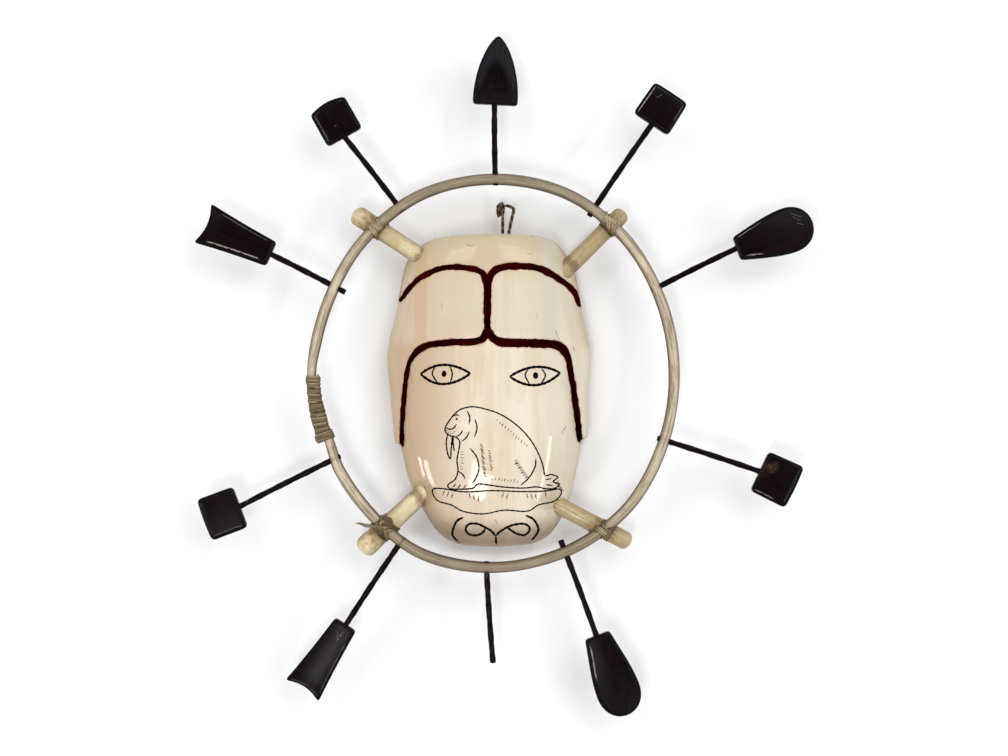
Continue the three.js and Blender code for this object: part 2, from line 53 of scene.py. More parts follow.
camera_data = bpy.data.cameras.new("camera")
camera_data.lens = lens_mm
camera = bpy.data.objects.new("camera", camera_data)
camera.location = Vector(eye_point) * MM
bpy.context.scene.collection.objects.link(camera)
bpy.context.scene.camera = camera

# Hanging loop
# A two-ply cord of twisted sinew, one ply dark and one tan. It goes down into the crown's end by one drilled
# hole and comes back by the other, and an overhand knot outside holds its two ends together.
cord_route = [
    (-0.62, 47.2), (-0.62, 44.6), (-0.62, 42.3), (-0.85, 40.4), (-1.25, 38.6), (-1.2, 36.9), (-0.4, 35.8),
    (0.6, 35.8), (1.55, 36.7), (1.8, 38.3), (1.5, 40.2), (1.2, 42.3), (1.65, 45.0), (2.3, 48.0), (2.6, 49.4),
    (2.35, 50.2), (1.5, 50.6), (0.6, 50.9),
]
cord_height = 4.5
cord_radius = 0.4
twist_length = 2.3
knot_middle = (-1.15, 49.7)
# the plies stand out a little beyond the cord's measured size
ply_radius = cord_radius * 1.2


def spline_at(points, places, closed=False):
    """Places along a smooth curve through the points, counted in stretches from the first point."""
    points = np.array(points, float)
    if closed:
        row = np.vstack([points[-1:], points, points[:2]])
    else:
        row = np.vstack([2 * points[0] - points[1], points, 2 * points[-1] - points[-2]])
    places = np.asarray(places, float)
    first = np.clip(places.astype(int), 0, len(row) - 4)
    u = (places - first)[:, None]
    a, b, c, d = row[first], row[first + 1], row[first + 2], row[first + 3]
    return 0.5 * (2 * b + (c - a) * u + (2 * a - 5 * b + 4 * c - d) * u**2 + (3 * b - a - 3 * c + d) * u**3)


def smooth_line(points, steps, closed=False):
    stretches = len(points) if closed else len(points) - 1
    count = stretches * steps + (0 if closed else 1)
    return spline_at(points, np.arange(count) / steps, closed)


def gone_along(line):
    """How far along a line each of its points is."""
    return np.concatenate([[0], np.cumsum(np.linalg.norm(np.diff(line, axis=0), axis=1))])


def evenly(line, step):
    """The same line with its points a fixed step apart."""
    gone = gone_along(line)
    places = np.linspace(0, gone[-1], max(2, round(gone[-1] / step) + 1))
    return np.column_stack([np.interp(places, gone, line[:, k]) for k in range(line.shape[1])])


def ahead_along(line, closed=False):
    """The way on at each point of a line, of any length."""
    return np.roll(line, -1, axis=0) - np.roll(line, 1, axis=0) if closed else np.gradient(line, axis=0)


def unit(vectors):
    return vectors / np.linalg.norm(vectors, axis=-1, keepdims=True)


def circle(count):
    return 2 * math.pi * np.arange(count) / count


def side_by_side(*parts):
    return np.stack(np.broadcast_arrays(*parts), axis=-1)


def carried_frames(line, closed=False):
    """Two unit vectors square to the line at each point, carried along it without twisting."""
    along = unit(ahead_along(line, closed))
    first = np.cross(along[0], (0, 0, 1.0))
    if np.linalg.norm(first) < 0.1:
        first = np.cross(along[0], (0, 1.0, 0))
    sides = [unit(first)]
    for tangent in along[1:]:
        sides.append(unit(sides[-1] - tangent * np.dot(sides[-1], tangent)))
    sides = np.array(sides)
    ups = np.cross(sides, along)
    if closed:
        # the turn that the frame has picked up on its way round is taken out evenly
        slip = math.atan2(np.dot(sides[-1], ups[0]), np.dot(sides[-1], sides[0]))
        back = -slip * np.arange(len(line)) / len(line)
        cos, sin = np.cos(back)[:, None], np.sin(back)[:, None]
        sides, ups = sides * cos + ups * sin, ups * cos - sides * sin
    return sides, ups


def tube_rings(line, across, up, closed=False):
    """Rings round a line: across and up give each ring's points, as rows of offsets."""
    sides, ups = carried_frames(line, closed)
    return line[:, None, :] + sides[:, None, :] * across[..., None] + ups[:, None, :] * up[..., None]


def skin_faces(count, around, closed=False):
    """Faces over a row of rings. An open row gets a middle point for each end, last in the list."""
    i = np.arange(count if closed else count - 1)[:, None]
    j = np.arange(around)[None, :]
    here, there = i * around, ((i + 1) % count) * around
    after = (j + 1) % around
    quads = np.stack([here + j, here + after, there + after, there + j], axis=-1).reshape(-1, 4)
    faces = quads.tolist()
    if not closed:
        start, end = count * around, count * around + 1
        last = (count - 1) * around
        for k in range(around):
            faces.append((start, (k + 1) % around, k))
            faces.append((end, last + k, last + (k + 1) % around))
    return faces


class Form:
    """What a piece's mesh is made from: points, faces, and notes, which are numbers or places per point."""

    def __init__(self):
        self.points, self.faces, self.notes, self.count = [], [], {}, 0

    def add(self, points, faces, **notes):
        self.faces += [tuple(k + self.count for k in face) for face in faces]
        self.points.append(points)
        for name, values in notes.items():
            self.notes.setdefault(name, []).append(np.asarray(values, float))
        self.count += len(points)

    def add_rings(self, rings, closed=False, **notes):
        around = rings.shape[1]
        points = rings.reshape(-1, 3)
        spread = {}
        for name, values in notes.items():
            if values.ndim == 1:
                values = np.broadcast_to(values[:, None], rings.shape[:2])
            spread[name] = values.reshape(-1, *values.shape[2:])
        if not closed:
            points = np.vstack([points, rings[0].mean(axis=0), rings[-1].mean(axis=0)])
            spread = {name: np.concatenate([v, v[:1], v[-1:]]) for name, v in spread.items()}
        self.add(points, skin_faces(len(rings), around, closed), **spread)

    def piece(self, name, material, slot, *nodes, smooth=True):
        """Makes the object, in metres, riding on the one body, in place of the named CAD nodes."""
        mesh = bpy.data.meshes.new(name)
        mesh.from_pydata((np.vstack(self.points) * MM).tolist(), [], self.faces)
        for note, values in self.notes.items():
            values = np.concatenate(values).astype(np.float32)
            kind, field = ("FLOAT", "value") if values.ndim == 1 else ("FLOAT_VECTOR", "vector")
            mesh.attributes.new(note, kind, "POINT").data.foreach_set(field, values.ravel())
        work = bmesh.new()
        work.from_mesh(mesh)
        bmesh.ops.remove_doubles(work, verts=work.verts, dist=1e-7)
        bmesh.ops.recalc_face_normals(work, faces=work.faces)
        work.to_mesh(mesh)
        work.free()
        mesh.polygons.foreach_set("use_smooth", [smooth] * len(mesh.polygons))
        mesh.materials.append(material)
        piece = bpy.data.objects.new(name, mesh)
        bpy.context.scene.collection.objects.link(piece)
        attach(piece, "root")
        if nodes:
            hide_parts(*nodes)
        return piece


class Signal:
    """A number or a vector that changes over a surface: a shader socket that can be reckoned with."""

    def __init__(self, tree, socket):
        self.tree, self.socket = tree, socket

    def __add__(self, other):
        return reckon(self.tree, "ADD", self, other)

    def __sub__(self, other):
        return reckon(self.tree, "SUBTRACT", self, other)

    def __mul__(self, other):
        return reckon(self.tree, "MULTIPLY", self, other)

    def __truediv__(self, other):
        return reckon(self.tree, "DIVIDE", self, other)

    def __rtruediv__(self, other):
        return reckon(self.tree, "DIVIDE", other, self)

    def __pow__(self, other):
        return reckon(self.tree, "POWER", self, other)

    def __abs__(self):
        return reckon(self.tree, "ABSOLUTE", self)

    def ramp(self, low, high, start=0.0, end=1.0):
        """Start below low, end above high, and a smooth change between them."""
        node = add_node(self.tree, "ShaderNodeMapRange", {
            "Value": self, "From Min": low, "From Max": high, "To Min": start, "To Max": end,
        }, interpolation_type="SMOOTHSTEP")
        return Signal(self.tree, node.outputs["Result"])


def add_node(tree, kind, inputs=None, **settings):
    """A shader node, its settings, and its inputs: a signal or socket is linked and a value is set."""
    node = tree.nodes.new(kind)
    for name, value in settings.items():
        setattr(node, name, value)
    for name, value in (inputs or {}).items():
        value = value.socket if isinstance(value, Signal) else value
        if isinstance(value, bpy.types.NodeSocket):
            tree.links.new(value, node.inputs[name])
        else:
            node.inputs[name].default_value = value
    return node


def reckon(tree, operation, *values):
    node = add_node(tree, "ShaderNodeMath", dict(enumerate(values)), operation=operation)
    return Signal(tree, node.outputs[0])


def noise(tree, place, scale, detail=2.0, roughness=0.5):
    node = add_node(tree, "ShaderNodeTexNoise", {
        "Vector": place, "Scale": scale, "Detail": detail, "Roughness": roughness,
    })
    return Signal(tree, node.outputs["Fac"])


def parts_of(tree, vector):
    return [Signal(tree, part) for part in add_node(tree, "ShaderNodeSeparateXYZ", {0: vector}).outputs]


def new_group(name, inputs, output):
    """A node group with one output, and the signals of its inputs, each of which has a first value."""
    group = bpy.data.node_groups.new(name, "ShaderNodeTree")
    for socket, value in inputs.items():
        kind = "NodeSocketVector" if value is None else "NodeSocketFloat"
        made = group.interface.new_socket(socket, in_out="INPUT", socket_type=kind)
        if value is not None:
            made.default_value = value
    group.interface.new_socket(output, in_out="OUTPUT", socket_type="NodeSocketFloat")
    sockets = group.nodes.new("NodeGroupInput").outputs
    return group, {socket: Signal(group, sockets[socket]) for socket in inputs}


def close_group(group, result):
    group.links.new(result.socket, group.nodes.new("NodeGroupOutput").inputs[0])


# fibre: fine streaks that run along Y of the lie that a piece is given, in mm
fibre, given = new_group("fibre", {"Lie": None, "Across": 2.0, "Along": 0.1}, "Streak")
stretch = add_node(fibre, "ShaderNodeCombineXYZ", {
    "X": given["Across"], "Y": given["Along"], "Z": given["Across"],
})
stretched = add_node(fibre, "ShaderNodeVectorMath", {0: given["Lie"], 1: stretch.outputs[0]},
                     operation="MULTIPLY")
close_group(fibre, noise(fibre, stretched.outputs[0], 1.0, 5.0, 0.6).ramp(0.3, 0.7))


class Finish:
    """A material that is mixed in steps: each colour is laid over the one before it, through a mask."""

    def __init__(self, name, values=None):
        self.material = bpy.data.materials.new(name)
        self.material.use_nodes = True
        self.tree = self.material.node_tree
        self.tree.nodes.clear()
        self.shader = add_node(self.tree, "ShaderNodeBsdfPrincipled", values)
        add_node(self.tree, "ShaderNodeOutputMaterial", {"Surface": self.shader.outputs["BSDF"]})

    def note(self, name, output="Fac"):
        """One of the notes that the piece's points carry."""
        node = add_node(self.tree, "ShaderNodeAttribute", attribute_name=name)
        return Signal(self.tree, node.outputs[output])

    def use(self, group, **inputs):
        """What a node group gives over the lie of the piece, with this finish's own values."""
        inputs["Lie"] = self.note("lie", "Vector")
        node = add_node(self.tree, "ShaderNodeGroup", inputs, node_tree=group)
        return Signal(self.tree, node.outputs[0])

    def blend(self, mask, first, second):
        node = add_node(self.tree, "ShaderNodeMix", {"Factor": mask}, data_type="RGBA")
        for place, colour in ((6, first), (7, second)):
            if isinstance(colour, Signal):
                self.tree.links.new(colour.socket, node.inputs[place])
            else:
                node.inputs[place].default_value = (*colour, 1.0)
        return Signal(self.tree, node.outputs[2])

    def lay(self, mask, colour):
        self.colour = self.blend(mask, self.colour, colour)

    def finish(self, roughness, height=None, depth=0.1, reach=1.0):
        """Joins the colour, the roughness and the bump to the shader; reach is in mm."""
        self.tree.links.new(self.colour.socket, self.shader.inputs["Base Color"])
        self.tree.links.new(roughness.socket, self.shader.inputs["Roughness"])
        if height is not None:
            bump = add_node(self.tree, "ShaderNodeBump", {
                "Strength": depth, "Distance": reach * MM, "Height": height,
            })
            self.tree.links.new(bump.outputs["Normal"], self.shader.inputs["Normal"])


sinew_cord = Finish("twisted sinew cord", {"Specular IOR Level": 0.1})
hairs = sinew_cord.use(fibre, Across=5.0, Along=0.8)
dark_ply = sinew_cord.blend(hairs, (0.008, 0.005, 0.003), (0.045, 0.028, 0.014))
tan_ply = sinew_cord.blend(hairs, (0.020, 0.012, 0.005), (0.27, 0.19, 0.10))
sinew_cord.colour = sinew_cord.blend(sinew_cord.note("ply").ramp(0.4, 0.6), dark_ply, tan_ply)
sinew_cord.finish(hairs.ramp(0, 1, 0.45, 0.7), hairs, 0.5, 0.05)


def twisted_cord(form, line, radius, steps_round=18):
    """A cord of two plies twisted round each other, added to a form."""
    gone, around = gone_along(line), circle(steps_round)
    turned = around[None, :] - 2 * math.pi * gone[:, None] / twist_length
    lobes = radius * (0.82 + 0.18 * np.abs(np.cos(turned)) ** 0.7)
    rings = tube_rings(line, lobes * np.cos(around), lobes * np.sin(around))
    ply = np.where(np.cos(turned) > 0, 1.0, 0.0)
    cord_lie = side_by_side(lobes * np.cos(turned), gone[:, None], lobes * np.sin(turned))
    form.add_rings(rings, ply=ply, lie=cord_lie)


route_step = 0.12
route = evenly(smooth_line([(x, y, cord_height) for x, y in cord_route], 12), route_step)
loop_form = Form()
twisted_cord(loop_form, route, ply_radius)
loop = loop_form.piece("sinew_loop", sinew_cord.material, "sinew", "hanging_loop")

# the knot's body is a few turns that swell in the middle, and its strands come out of it
knot_turns, knot_steps, knot_start = 3.2, 110, 0.6
knot_tall = 3.3
knot_slim, knot_swell = 0.55, 0.35
knot_form = Form()
knot_place = np.linspace(0, 1, knot_steps)
knot_angle = 2 * math.pi * knot_turns * knot_place + knot_start
knot_girth = knot_slim + knot_swell * np.sin(math.pi * knot_place)
knot_line = np.column_stack([
    knot_middle[0] + knot_girth * np.cos(knot_angle) - 0.1,
    knot_middle[1] + knot_tall * (knot_place - 0.5) + 0.3 * np.sin(2 * knot_angle),
    cord_height + knot_girth * np.sin(knot_angle),
])
twisted_cord(knot_form, knot_line, ply_radius)
knot_strands = [
    [(-0.62, 47.25, 4.5), (-0.6, 48.0, 4.6), (-0.75, 48.9, 4.6), (-0.9, 50.0, 4.5)],
    [(0.7, 50.95, 4.5), (-0.1, 50.7, 5.1), (-1.2, 50.1, 5.6), (-2.0, 49.2, 5.2), (-2.1, 48.4, 4.4)],
    [(-0.4, 49.9, 5.3), (-1.0, 49.0, 5.7), (-1.7, 48.1, 5.2), (-1.9, 47.7, 4.4)],
    [(-0.8, 50.4, 4.9), (-1.2, 51.0, 5.0), (-1.4, 51.6, 4.8)],
]
for strand_points in knot_strands:
    twisted_cord(knot_form, smooth_line(strand_points, 8), cord_radius)
knot = knot_form.piece("sinew_loop_knot", sinew_cord.material, "sinew", "loop_knot")

# Mask
# One slab of walrus ivory, carved and polished: a smooth face that rolls over to upright sides, and a hood
# of two raised panels that run down beside it. The step at the panels' foot is stained with red ochre.
mask_middle = -4.2
side_height = 6.0
face_squareness = 2.2
back_arris = 0.8
# from chin to crown: (place along Y, reach to the left, reach to the right, depth of the crest)
mask_stations = [
    (-49.3, 6.8, 8.8, 8.0), (-48.9, 9.2, 11.6, 9.2), (-48.1, 11.6, 14.1, 10.8),
    (-46.6, 14.1, 16.8, 12.9), (-44.5, 16.2, 18.8, 14.9), (-41.0, 18.5, 20.9, 16.7),
    (-36.0, 21.3, 23.0, 17.9), (-30.0, 24.0, 24.7, 18.6), (-24.5, 25.4, 25.7, 18.9),
    (-19.5, 26.3, 26.4, 19.0), (-15.0, 26.9, 26.8, 19.1), (-4.0, 27.9, 26.8, 19.1),
    (5.0, 28.6, 27.6, 19.1), (13.0, 28.1, 27.2, 19.1), (20.0, 27.2, 26.5, 19.1),
    (26.0, 26.3, 25.7, 19.1), (32.3, 25.0, 24.1, 19.0), (36.1, 23.2, 22.0, 18.7),
    (39.0, 20.1, 19.8, 18.0), (40.8, 16.7, 17.6, 17.0), (41.6, 13.2, 14.3, 15.7),
    (41.95, 9.5, 10.5, 14.6),
]
# each panel: its upper edge from the middle groove out to the side, and its brow edge from the side back in
hood_panels = {
    -1: ([(-5.4, 27.4), (-6.7, 30.2), (-10.2, 31.5), (-17.7, 31.7), (-25.2, 28.5), (-30.4, 22.9)],
         [(-30.4, -19.3), (-30.2, -12.5), (-29.1, -0.9), (-27.4, 5.7), (-23.1, 9.6), (-15.8, 10.6),
          (-7.7, 11.2), (-5.4, 14.0)]),
    1: ([(-4.7, 27.6), (-3.5, 30.3), (-0.7, 31.9), (7.6, 32.1), (14.1, 29.8), (19.9, 25.6), (21.9, 21.8)],
        [(22.1, -17.9), (20.7, -6.6), (19.3, 2.0), (18.3, 7.0), (15.3, 9.9), (8.6, 10.5), (-1.0, 10.8),
         (-4.7, 13.8)]),
}
hood_outer_x = 45
front_relief = 1.15
# how far the hood stands out sideways, from the flaps' lower ends up to the temples
flap_ends = {-1: -19.3, 1: -17.9}
side_relief = {-1: 1.75, 1: 2.0}
temple_relief = 0.25
temple_from, temple_to = 6, 23
step_inner, step_outer = 0.6, 0.3
# the carver's knife went a little deeper along the foot of the step
groove_depth, groove_from_edge, groove_width = 0.2, 0.4, 0.35
ring_count, ring_points, wall_points, back_points, cap_rings = 330, 236, 10, 14, 8
# how far the stain reaches beside the panels and onto them, left and right: at the panels' upper edges, at
# the brow and down the flaps
stain_beside = {"upper": (1.0, 1.05), "brow": (1.45, 1.75), "flap": (1.0, 1.1)}
stain_upon = {"upper": (0.85, 1.1), "brow": (0.6, 0.75), "flap": (0.45, 0.75)}
far_from_stain = -20.0


def between(a, b, share):
    return a + (b - a) * share


def smoothstep(values, low, high):
    u = np.clip((values - low) / (high - low), 0, 1)
    return u * u * (3 - 2 * u)


def reach_to_lines(points, lines):
    """Shortest distance from each point to any of the lines."""
    best = np.full(len(points), 1e9)
    for line in lines:
        for a, b in zip(line[:-1], line[1:]):
            along = b - a
            u = np.clip((points - a) @ along / (along @ along), 0, 1)
            best = np.minimum(best, np.hypot(*(points - a - u[:, None] * along).T))
    return best


def inside_outline(points, outline):
    x, y = points.T
    odd = np.zeros(len(points), bool)
    for (x0, y0), (x1, y1) in zip(outline, np.roll(outline, -1, axis=0)):
        crosses = (y0 > y) != (y1 > y)
        with np.errstate(divide="ignore", invalid="ignore"):
            odd ^= crosses & (x < (x1 - x0) * (y - y0) / (y1 - y0) + x0)
    return odd


panel_edges = {side: [smooth_line(edge, 14) for edge in edges] for side, edges in hood_panels.items()}
stained_lines = []
panel_outlines = []
for side, (upper, brow) in panel_edges.items():
    ends = np.array([(side * hood_outer_x, upper[-1][1]), (side * hood_outer_x, brow[0][1])])
    panel_outlines.append(np.vstack([upper, ends, brow, upper[:1]]))
    stained_lines += [upper, np.vstack([brow, upper[:1]])]


def raised_or_not(points, distance):
    """The distance as it is on the hood's panels, and less than 0 beside them."""
    raised = np.zeros(len(points), bool)
    for outline in panel_outlines:
        raised |= inside_outline(points, outline[:-1])
    return np.where(raised, distance, -distance)


def bare_height(x, left, right, crest):
    """Height of the carved face at a place across it."""
    share = np.abs(x - mask_middle) / np.where(x > mask_middle, right, left)
    rise = np.clip(1 - np.minimum(share, 1) ** face_squareness, 0, 1) ** (1 / face_squareness)
    return side_height + (crest - side_height) * rise


def flap_reach(side, y):
    """How far the hood stands out sideways at a place along the mask."""
    temple = float(smoothstep(np.array(y), temple_from, temple_to))
    low_end = float(smoothstep(np.array(y), flap_ends[side] - 0.5, flap_ends[side] + 0.4))
    return between(side_relief[side], temple_relief, temple) * low_end


def mask_section(y, left, right, crest):
    """A fine cross-section over the face from right to left, and how close its points stand."""
    wide_left, wide_right = left + flap_reach(-1, y), right + flap_reach(1, y)
    turn = np.linspace(0, math.pi, 900)
    across = np.abs(np.cos(turn)) ** (2 / face_squareness)
    x = mask_middle + np.where(turn < math.pi / 2, wide_right * across, -wide_left * across)
    low = bare_height(x, left, right, crest)
    high = side_height + (crest + front_relief - side_height) * np.abs(np.sin(turn)) ** (2 / face_squareness)
    plan = np.column_stack([x, np.full(len(x), y)])
    edge = raised_or_not(plan, reach_to_lines(plan, panel_outlines))
    height = low + (high - low) * smoothstep(edge, -step_outer, step_inner)
    section = np.column_stack([x, height])
    weight = np.linalg.norm(np.diff(section, axis=0), axis=1) * (1 + 1.6 * np.exp(-((edge[1:] / 0.8) ** 2)))
    return section, weight / weight.sum()


fine = spline_at(mask_stations, np.linspace(0, len(mask_stations) - 1, 4000))
gone = gone_along(fine[:, [0, 1, 3]])
rows = np.column_stack([np.interp(np.linspace(0, gone[-1], ring_count), gone, fine[:, k]) for k in range(4)])
sections, weights = zip(*[mask_section(*row) for row in rows])
# the spacing changes slowly from ring to ring, so that no face of the mesh is skewed
near_count, near_spread = 24, 10
near_rings = np.exp(-((np.arange(-near_count, near_count + 1) / near_spread) ** 2))
spaced_weights = np.pad(np.array(weights), ((near_count, near_count), (0, 0)), mode="edge")
spaced_weights = np.array([near_rings @ spaced_weights[k : k + len(near_rings)] for k in range(ring_count)])
face_rings = []
for row, section, weight in zip(rows, sections, spaced_weights):
    gone = np.concatenate([[0], np.cumsum(weight)])
    places = np.linspace(0, gone[-1], ring_points)
    x, z = (np.interp(places, gone, section[:, k]) for k in range(2))
    wall = np.linspace(back_arris, side_height, wall_points + 1)[:-1]
    x = np.concatenate([np.full(wall_points, x[0]), x, np.full(wall_points, x[-1])])
    z = np.concatenate([wall, z, wall[::-1]])
    face_rings.append(np.column_stack([x, np.full(len(x), row[0]), z]))
face_rings = np.array(face_rings)
flat = face_rings.reshape(-1, 3)[:, :2]
seam = raised_or_not(flat, reach_to_lines(flat, stained_lines)).reshape(face_rings.shape[:2])
groove = groove_depth * np.exp(-(((seam + groove_from_edge) / groove_width) ** 2))
face_rings[..., 2] -= groove * smoothstep(face_rings[..., 2], 9, 12)


def stain_width(widths, x, y):
    """How far the stain reaches at a place, from its widths at the upper edges, the brow and the flaps."""
    to_right = smoothstep(x, -8, -2)
    upper, brow, flap = (between(*widths[key], to_right) for key in ("upper", "brow", "flap"))
    return between(between(flap, brow, smoothstep(y, 4, 7.5)), upper, smoothstep(y, 17, 21))


face_x, face_y = face_rings[..., 0], face_rings[..., 1]
# the upper edges' stain runs out thin at the temples
thinning = 1 - 0.15 * smoothstep(np.abs(face_x - mask_middle), 17, 25) * smoothstep(face_y, 18, 20)
# in the fold between the panels it reaches evenly on to both
fold_x, fold_width, fold_stain = -5, 1.5, 0.68
in_fold = smoothstep(face_y, 13, 15) * (1 - smoothstep(face_y, 25, 27))
in_fold = np.exp(-(((face_x - fold_x) / fold_width) ** 2)) * in_fold
beside, upon = (stain_width(widths, face_x, face_y) for widths in (stain_beside, stain_upon))
stain_note = np.minimum(beside * thinning + seam, between(upon, fold_stain, in_fold) * thinning - seam)
left_foot, right_foot = face_rings[:, -1].copy(), face_rings[:, 0].copy()
left_foot[:, 0] += back_arris
right_foot[:, 0] -= back_arris
left_foot[:, 2] = right_foot[:, 2] = 0
back = left_foot[:, None] + (right_foot - left_foot)[:, None] * np.linspace(0, 1, back_points)[None, :, None]
whole_rings = np.concatenate([face_rings, back], axis=1)
stain_notes = np.concatenate([stain_note, np.full(back.shape[:2], far_from_stain)], axis=1)


def end_cap(ring, swell):
    """Rings that close an end with a barely swelling face, from the rim to the middle."""
    middle = ring.mean(axis=0)
    rows = []
    for size in np.linspace(1, 0, cap_rings + 2)[1:-1]:
        row = middle + (ring - middle) * size
        row[:, 1] = ring[:, 1] + swell * (1 - size**2)
        rows.append(row)
    return np.array(rows)


chin_cap = end_cap(whole_rings[0], -0.3)[::-1]
crown_cap = end_cap(whole_rings[-1], 0.35)
mask_surface = np.concatenate([chin_cap, whole_rings, crown_cap])
cap_notes = np.full((cap_rings, whole_rings.shape[1]), far_from_stain)
mask_stains = np.concatenate([cap_notes, stain_notes, cap_notes])

# cloud: soft uneven patches, Size mm across
cloud, given = new_group("cloud", {"Lie": None, "Size": 5.0}, "Patch")
close_group(cloud, noise(cloud, given["Lie"], 1.0 / given["Size"], 4.0, 0.55).ramp(0.32, 0.68))

# nick: one thin straight scratch or crack between two places of the lie
nick_ends = {"From X": 0.0, "From Y": 0.0, "To X": 1.0, "To Y": 1.0}
nick, given = new_group("nick", {"Lie": None, **nick_ends, "Width": 0.1}, "Mark")
step_x, step_y = (given["To " + k] - given["From " + k] for k in "XY")
off_x, off_y = (part - given["From " + k] for k, part in zip("XY", parts_of(nick, given["Lie"])))
nick_length = (step_x * step_x + step_y * step_y) ** 0.5
nick_wave = noise(nick, given["Lie"], 1.3, 3.0).ramp(0.3, 0.7, -0.12, 0.12)
nick_across = abs((off_x * step_y - off_y * step_x) / nick_length + nick_wave)
nick_along = (off_x * step_x + off_y * step_y) / nick_length
inside_nick = nick_along.ramp(0.0, 0.3) * (nick_length - nick_along).ramp(0.0, 0.3)
close_group(nick, (nick_across / given["Width"]).ramp(0.6, 1.4, 1, 0) * inside_nick)


def scratch(finish, places, strength, colour):
    """Thin scratches over a finish, each from one place of the lie to another, with its width in mm."""
    for start, end, width in places:
        ends = dict(zip(nick_ends, (*start, *end)))
        finish.lay(finish.use(nick, Width=width, **ends) * strength, colour)


ivory = Finish("polished ivory", {"Coat Roughness": 0.06, "Specular IOR Level": 0.0})
broad_bands = ivory.use(fibre, Across=0.14, Along=0.012)
grain_lines = ivory.use(fibre, Across=1.1, Along=0.03)
fine_lines = ivory.use(fibre, Across=5.0, Along=0.2)
tone, specks = ivory.use(cloud, Size=16.0), ivory.use(cloud, Size=1.1)
mask_lie = ivory.note("lie", "Vector")
to_right, to_crown, depth = parts_of(ivory.tree, mask_lie)
ivory.colour = ivory.blend(tone, (0.74, 0.62, 0.485), (0.85, 0.75, 0.63))
ivory.lay(broad_bands.ramp(0.3, 0.7, 0.4, 0), (0.63, 0.475, 0.30))
ivory.lay(grain_lines * 0.12, (0.86, 0.78, 0.68))
ivory.lay(fine_lines * 0.06, (0.55, 0.42, 0.28))
# painted shade across the sides: the left side is laid darker and tan, the right darker and a cooler cream;
# the hood is greyer and the crown's end yellow
ivory.lay(to_crown.ramp(9, 14, 0, 0.5), (0.60, 0.51, 0.385))
ivory.lay(to_right.ramp(-25, -8, 0.95, 0) * to_crown.ramp(8, 14, 1, 0.55), (0.55, 0.40, 0.26))
ivory.lay(to_right.ramp(1, 15, 0, 0.65), (0.60, 0.55, 0.425))
ivory.lay(to_crown.ramp(26, 35, 0, 0.6), (0.56, 0.44, 0.265))
# painted reflection: a dark tan band down the left panel, as of something dark standing beside the piece
ivory.lay(abs(to_right + 24.4).ramp(1.2, 2.2, 0.6, 0) * to_crown.ramp(8, 12), (0.56, 0.40, 0.22))
# painted shade: the rolled sides are laid darker brown low down, and the chin's sides darker still
shade_depth = depth + tone.ramp(0, 1, -0.5, 0.5)
ivory.lay(shade_depth.ramp(2.0, 5.0, 0.62, 0), (0.46, 0.32, 0.175))
chin_shade_depth = shade_depth + to_crown.ramp(-50, -33, -5.2, 0.5)
ivory.lay(chin_shade_depth.ramp(-0.6, 4.9, 0.86, 0), (0.26, 0.165, 0.09))
# the ivory round the two lower pegs' holes is browned: partly a handling stain, partly the pegs' painted
# shadow
for hole_x, hole_y, browned in ((-23.8, -33.6, 0.55), (13.2, -35.4, 0.4)):
    hole_off = add_node(ivory.tree, "ShaderNodeVectorMath", {0: mask_lie, 1: (hole_x, hole_y, 4.0)},
                        operation="DISTANCE").outputs["Value"]
    ragged_off = Signal(ivory.tree, hole_off) + specks.ramp(0, 1, -0.8, 0.8)
    ivory.lay(ragged_off.ramp(1.8, 5.0, browned, 0), (0.33, 0.20, 0.10))
# a cooler grey-green band runs down the right panel
ivory.lay(abs(to_right - 13.0).ramp(1.0, 3.4, 0.75, 0) * to_crown.ramp(8, 12), (0.55, 0.53, 0.42))
# small scratches and age cracks: where each begins and ends, and how wide it is
scratch(ivory, [
    ((17.8, -13.8), (16.6, -16.1), 0.13), ((14.5, -30.2), (17.3, -33.0), 0.22),
    ((15.4, -29.6), (16.2, -32.4), 0.14), ((-23.6, -31.4), (-22.6, -34.2), 0.2),
    ((-2.9, -40.6), (-2.2, -42.6), 0.09), ((14.5, 13.8), (15.9, 10.7), 0.12),
    ((19.6, 9.3), (20.4, 7.9), 0.18), ((-11.2, 38.4), (-8.9, 38.0), 0.1),
    ((6.3, 36.1), (7.9, 35.6), 0.09), ((-27.4, 2.0), (-27.1, -1.8), 0.1),
    ((9.4, 18.9), (9.1, 16.8), 0.07), ((-18.4, 21.9), (-18.0, 19.9), 0.07),
], 0.7, (0.16, 0.09, 0.05))
# the stain's edge is a little ragged, and it has bled faintly into the grain beside it
edge_wave = ivory.use(cloud, Size=2.6)
stain_depth = ivory.note("stain") + edge_wave.ramp(0, 1, -0.12, 0.12)
stain = stain_depth.ramp(-0.08, 0.08)
ivory.lay(stain_depth.ramp(-0.6, 0.0) * specks.ramp(0.2, 1.0, 0.05, 0.6), (0.46, 0.17, 0.09))
ivory.lay(stain, ivory.blend(edge_wave, (0.010, 0.0004, 0.0003), (0.036, 0.0012, 0.0009)))
ivory.tree.links.new(stain.ramp(0, 1, 0.7, 0).socket, ivory.shader.inputs["Coat Weight"])
ivory.finish(grain_lines.ramp(0, 1, 0.2, 0.27) + stain * 0.06, grain_lines, 0.03, 0.05)

mask_form = Form()
mask_form.add_rings(mask_surface, stain=mask_stains, lie=mask_surface * np.array((1, 1, 0.35)))
mask_form.piece("carved_mask", ivory.material, "ivory", "mask_face")

# Engraving
# Fine lines cut into the polished face and filled with soot: the two eyes, the curls on the chin, and an
# animal on an ice floe below the eyes. Each line is a sliver of ink that follows the ivory's surface.
ink_sink = 0.12
ink_rise = 0.035
# the spacing of a line's points, and how far from its ends it grows thinner
ink_step = 0.22
ink_taper = 1.1

soot = Finish("soot ink", {"Specular IOR Level": 0.0})
worn = soot.use(cloud, Size=0.9)
soot.colour = soot.blend(worn, (0.002, 0.0015, 0.0015), (0.009, 0.007, 0.006))
soot.finish(worn.ramp(0, 1, 0.35, 0.6))

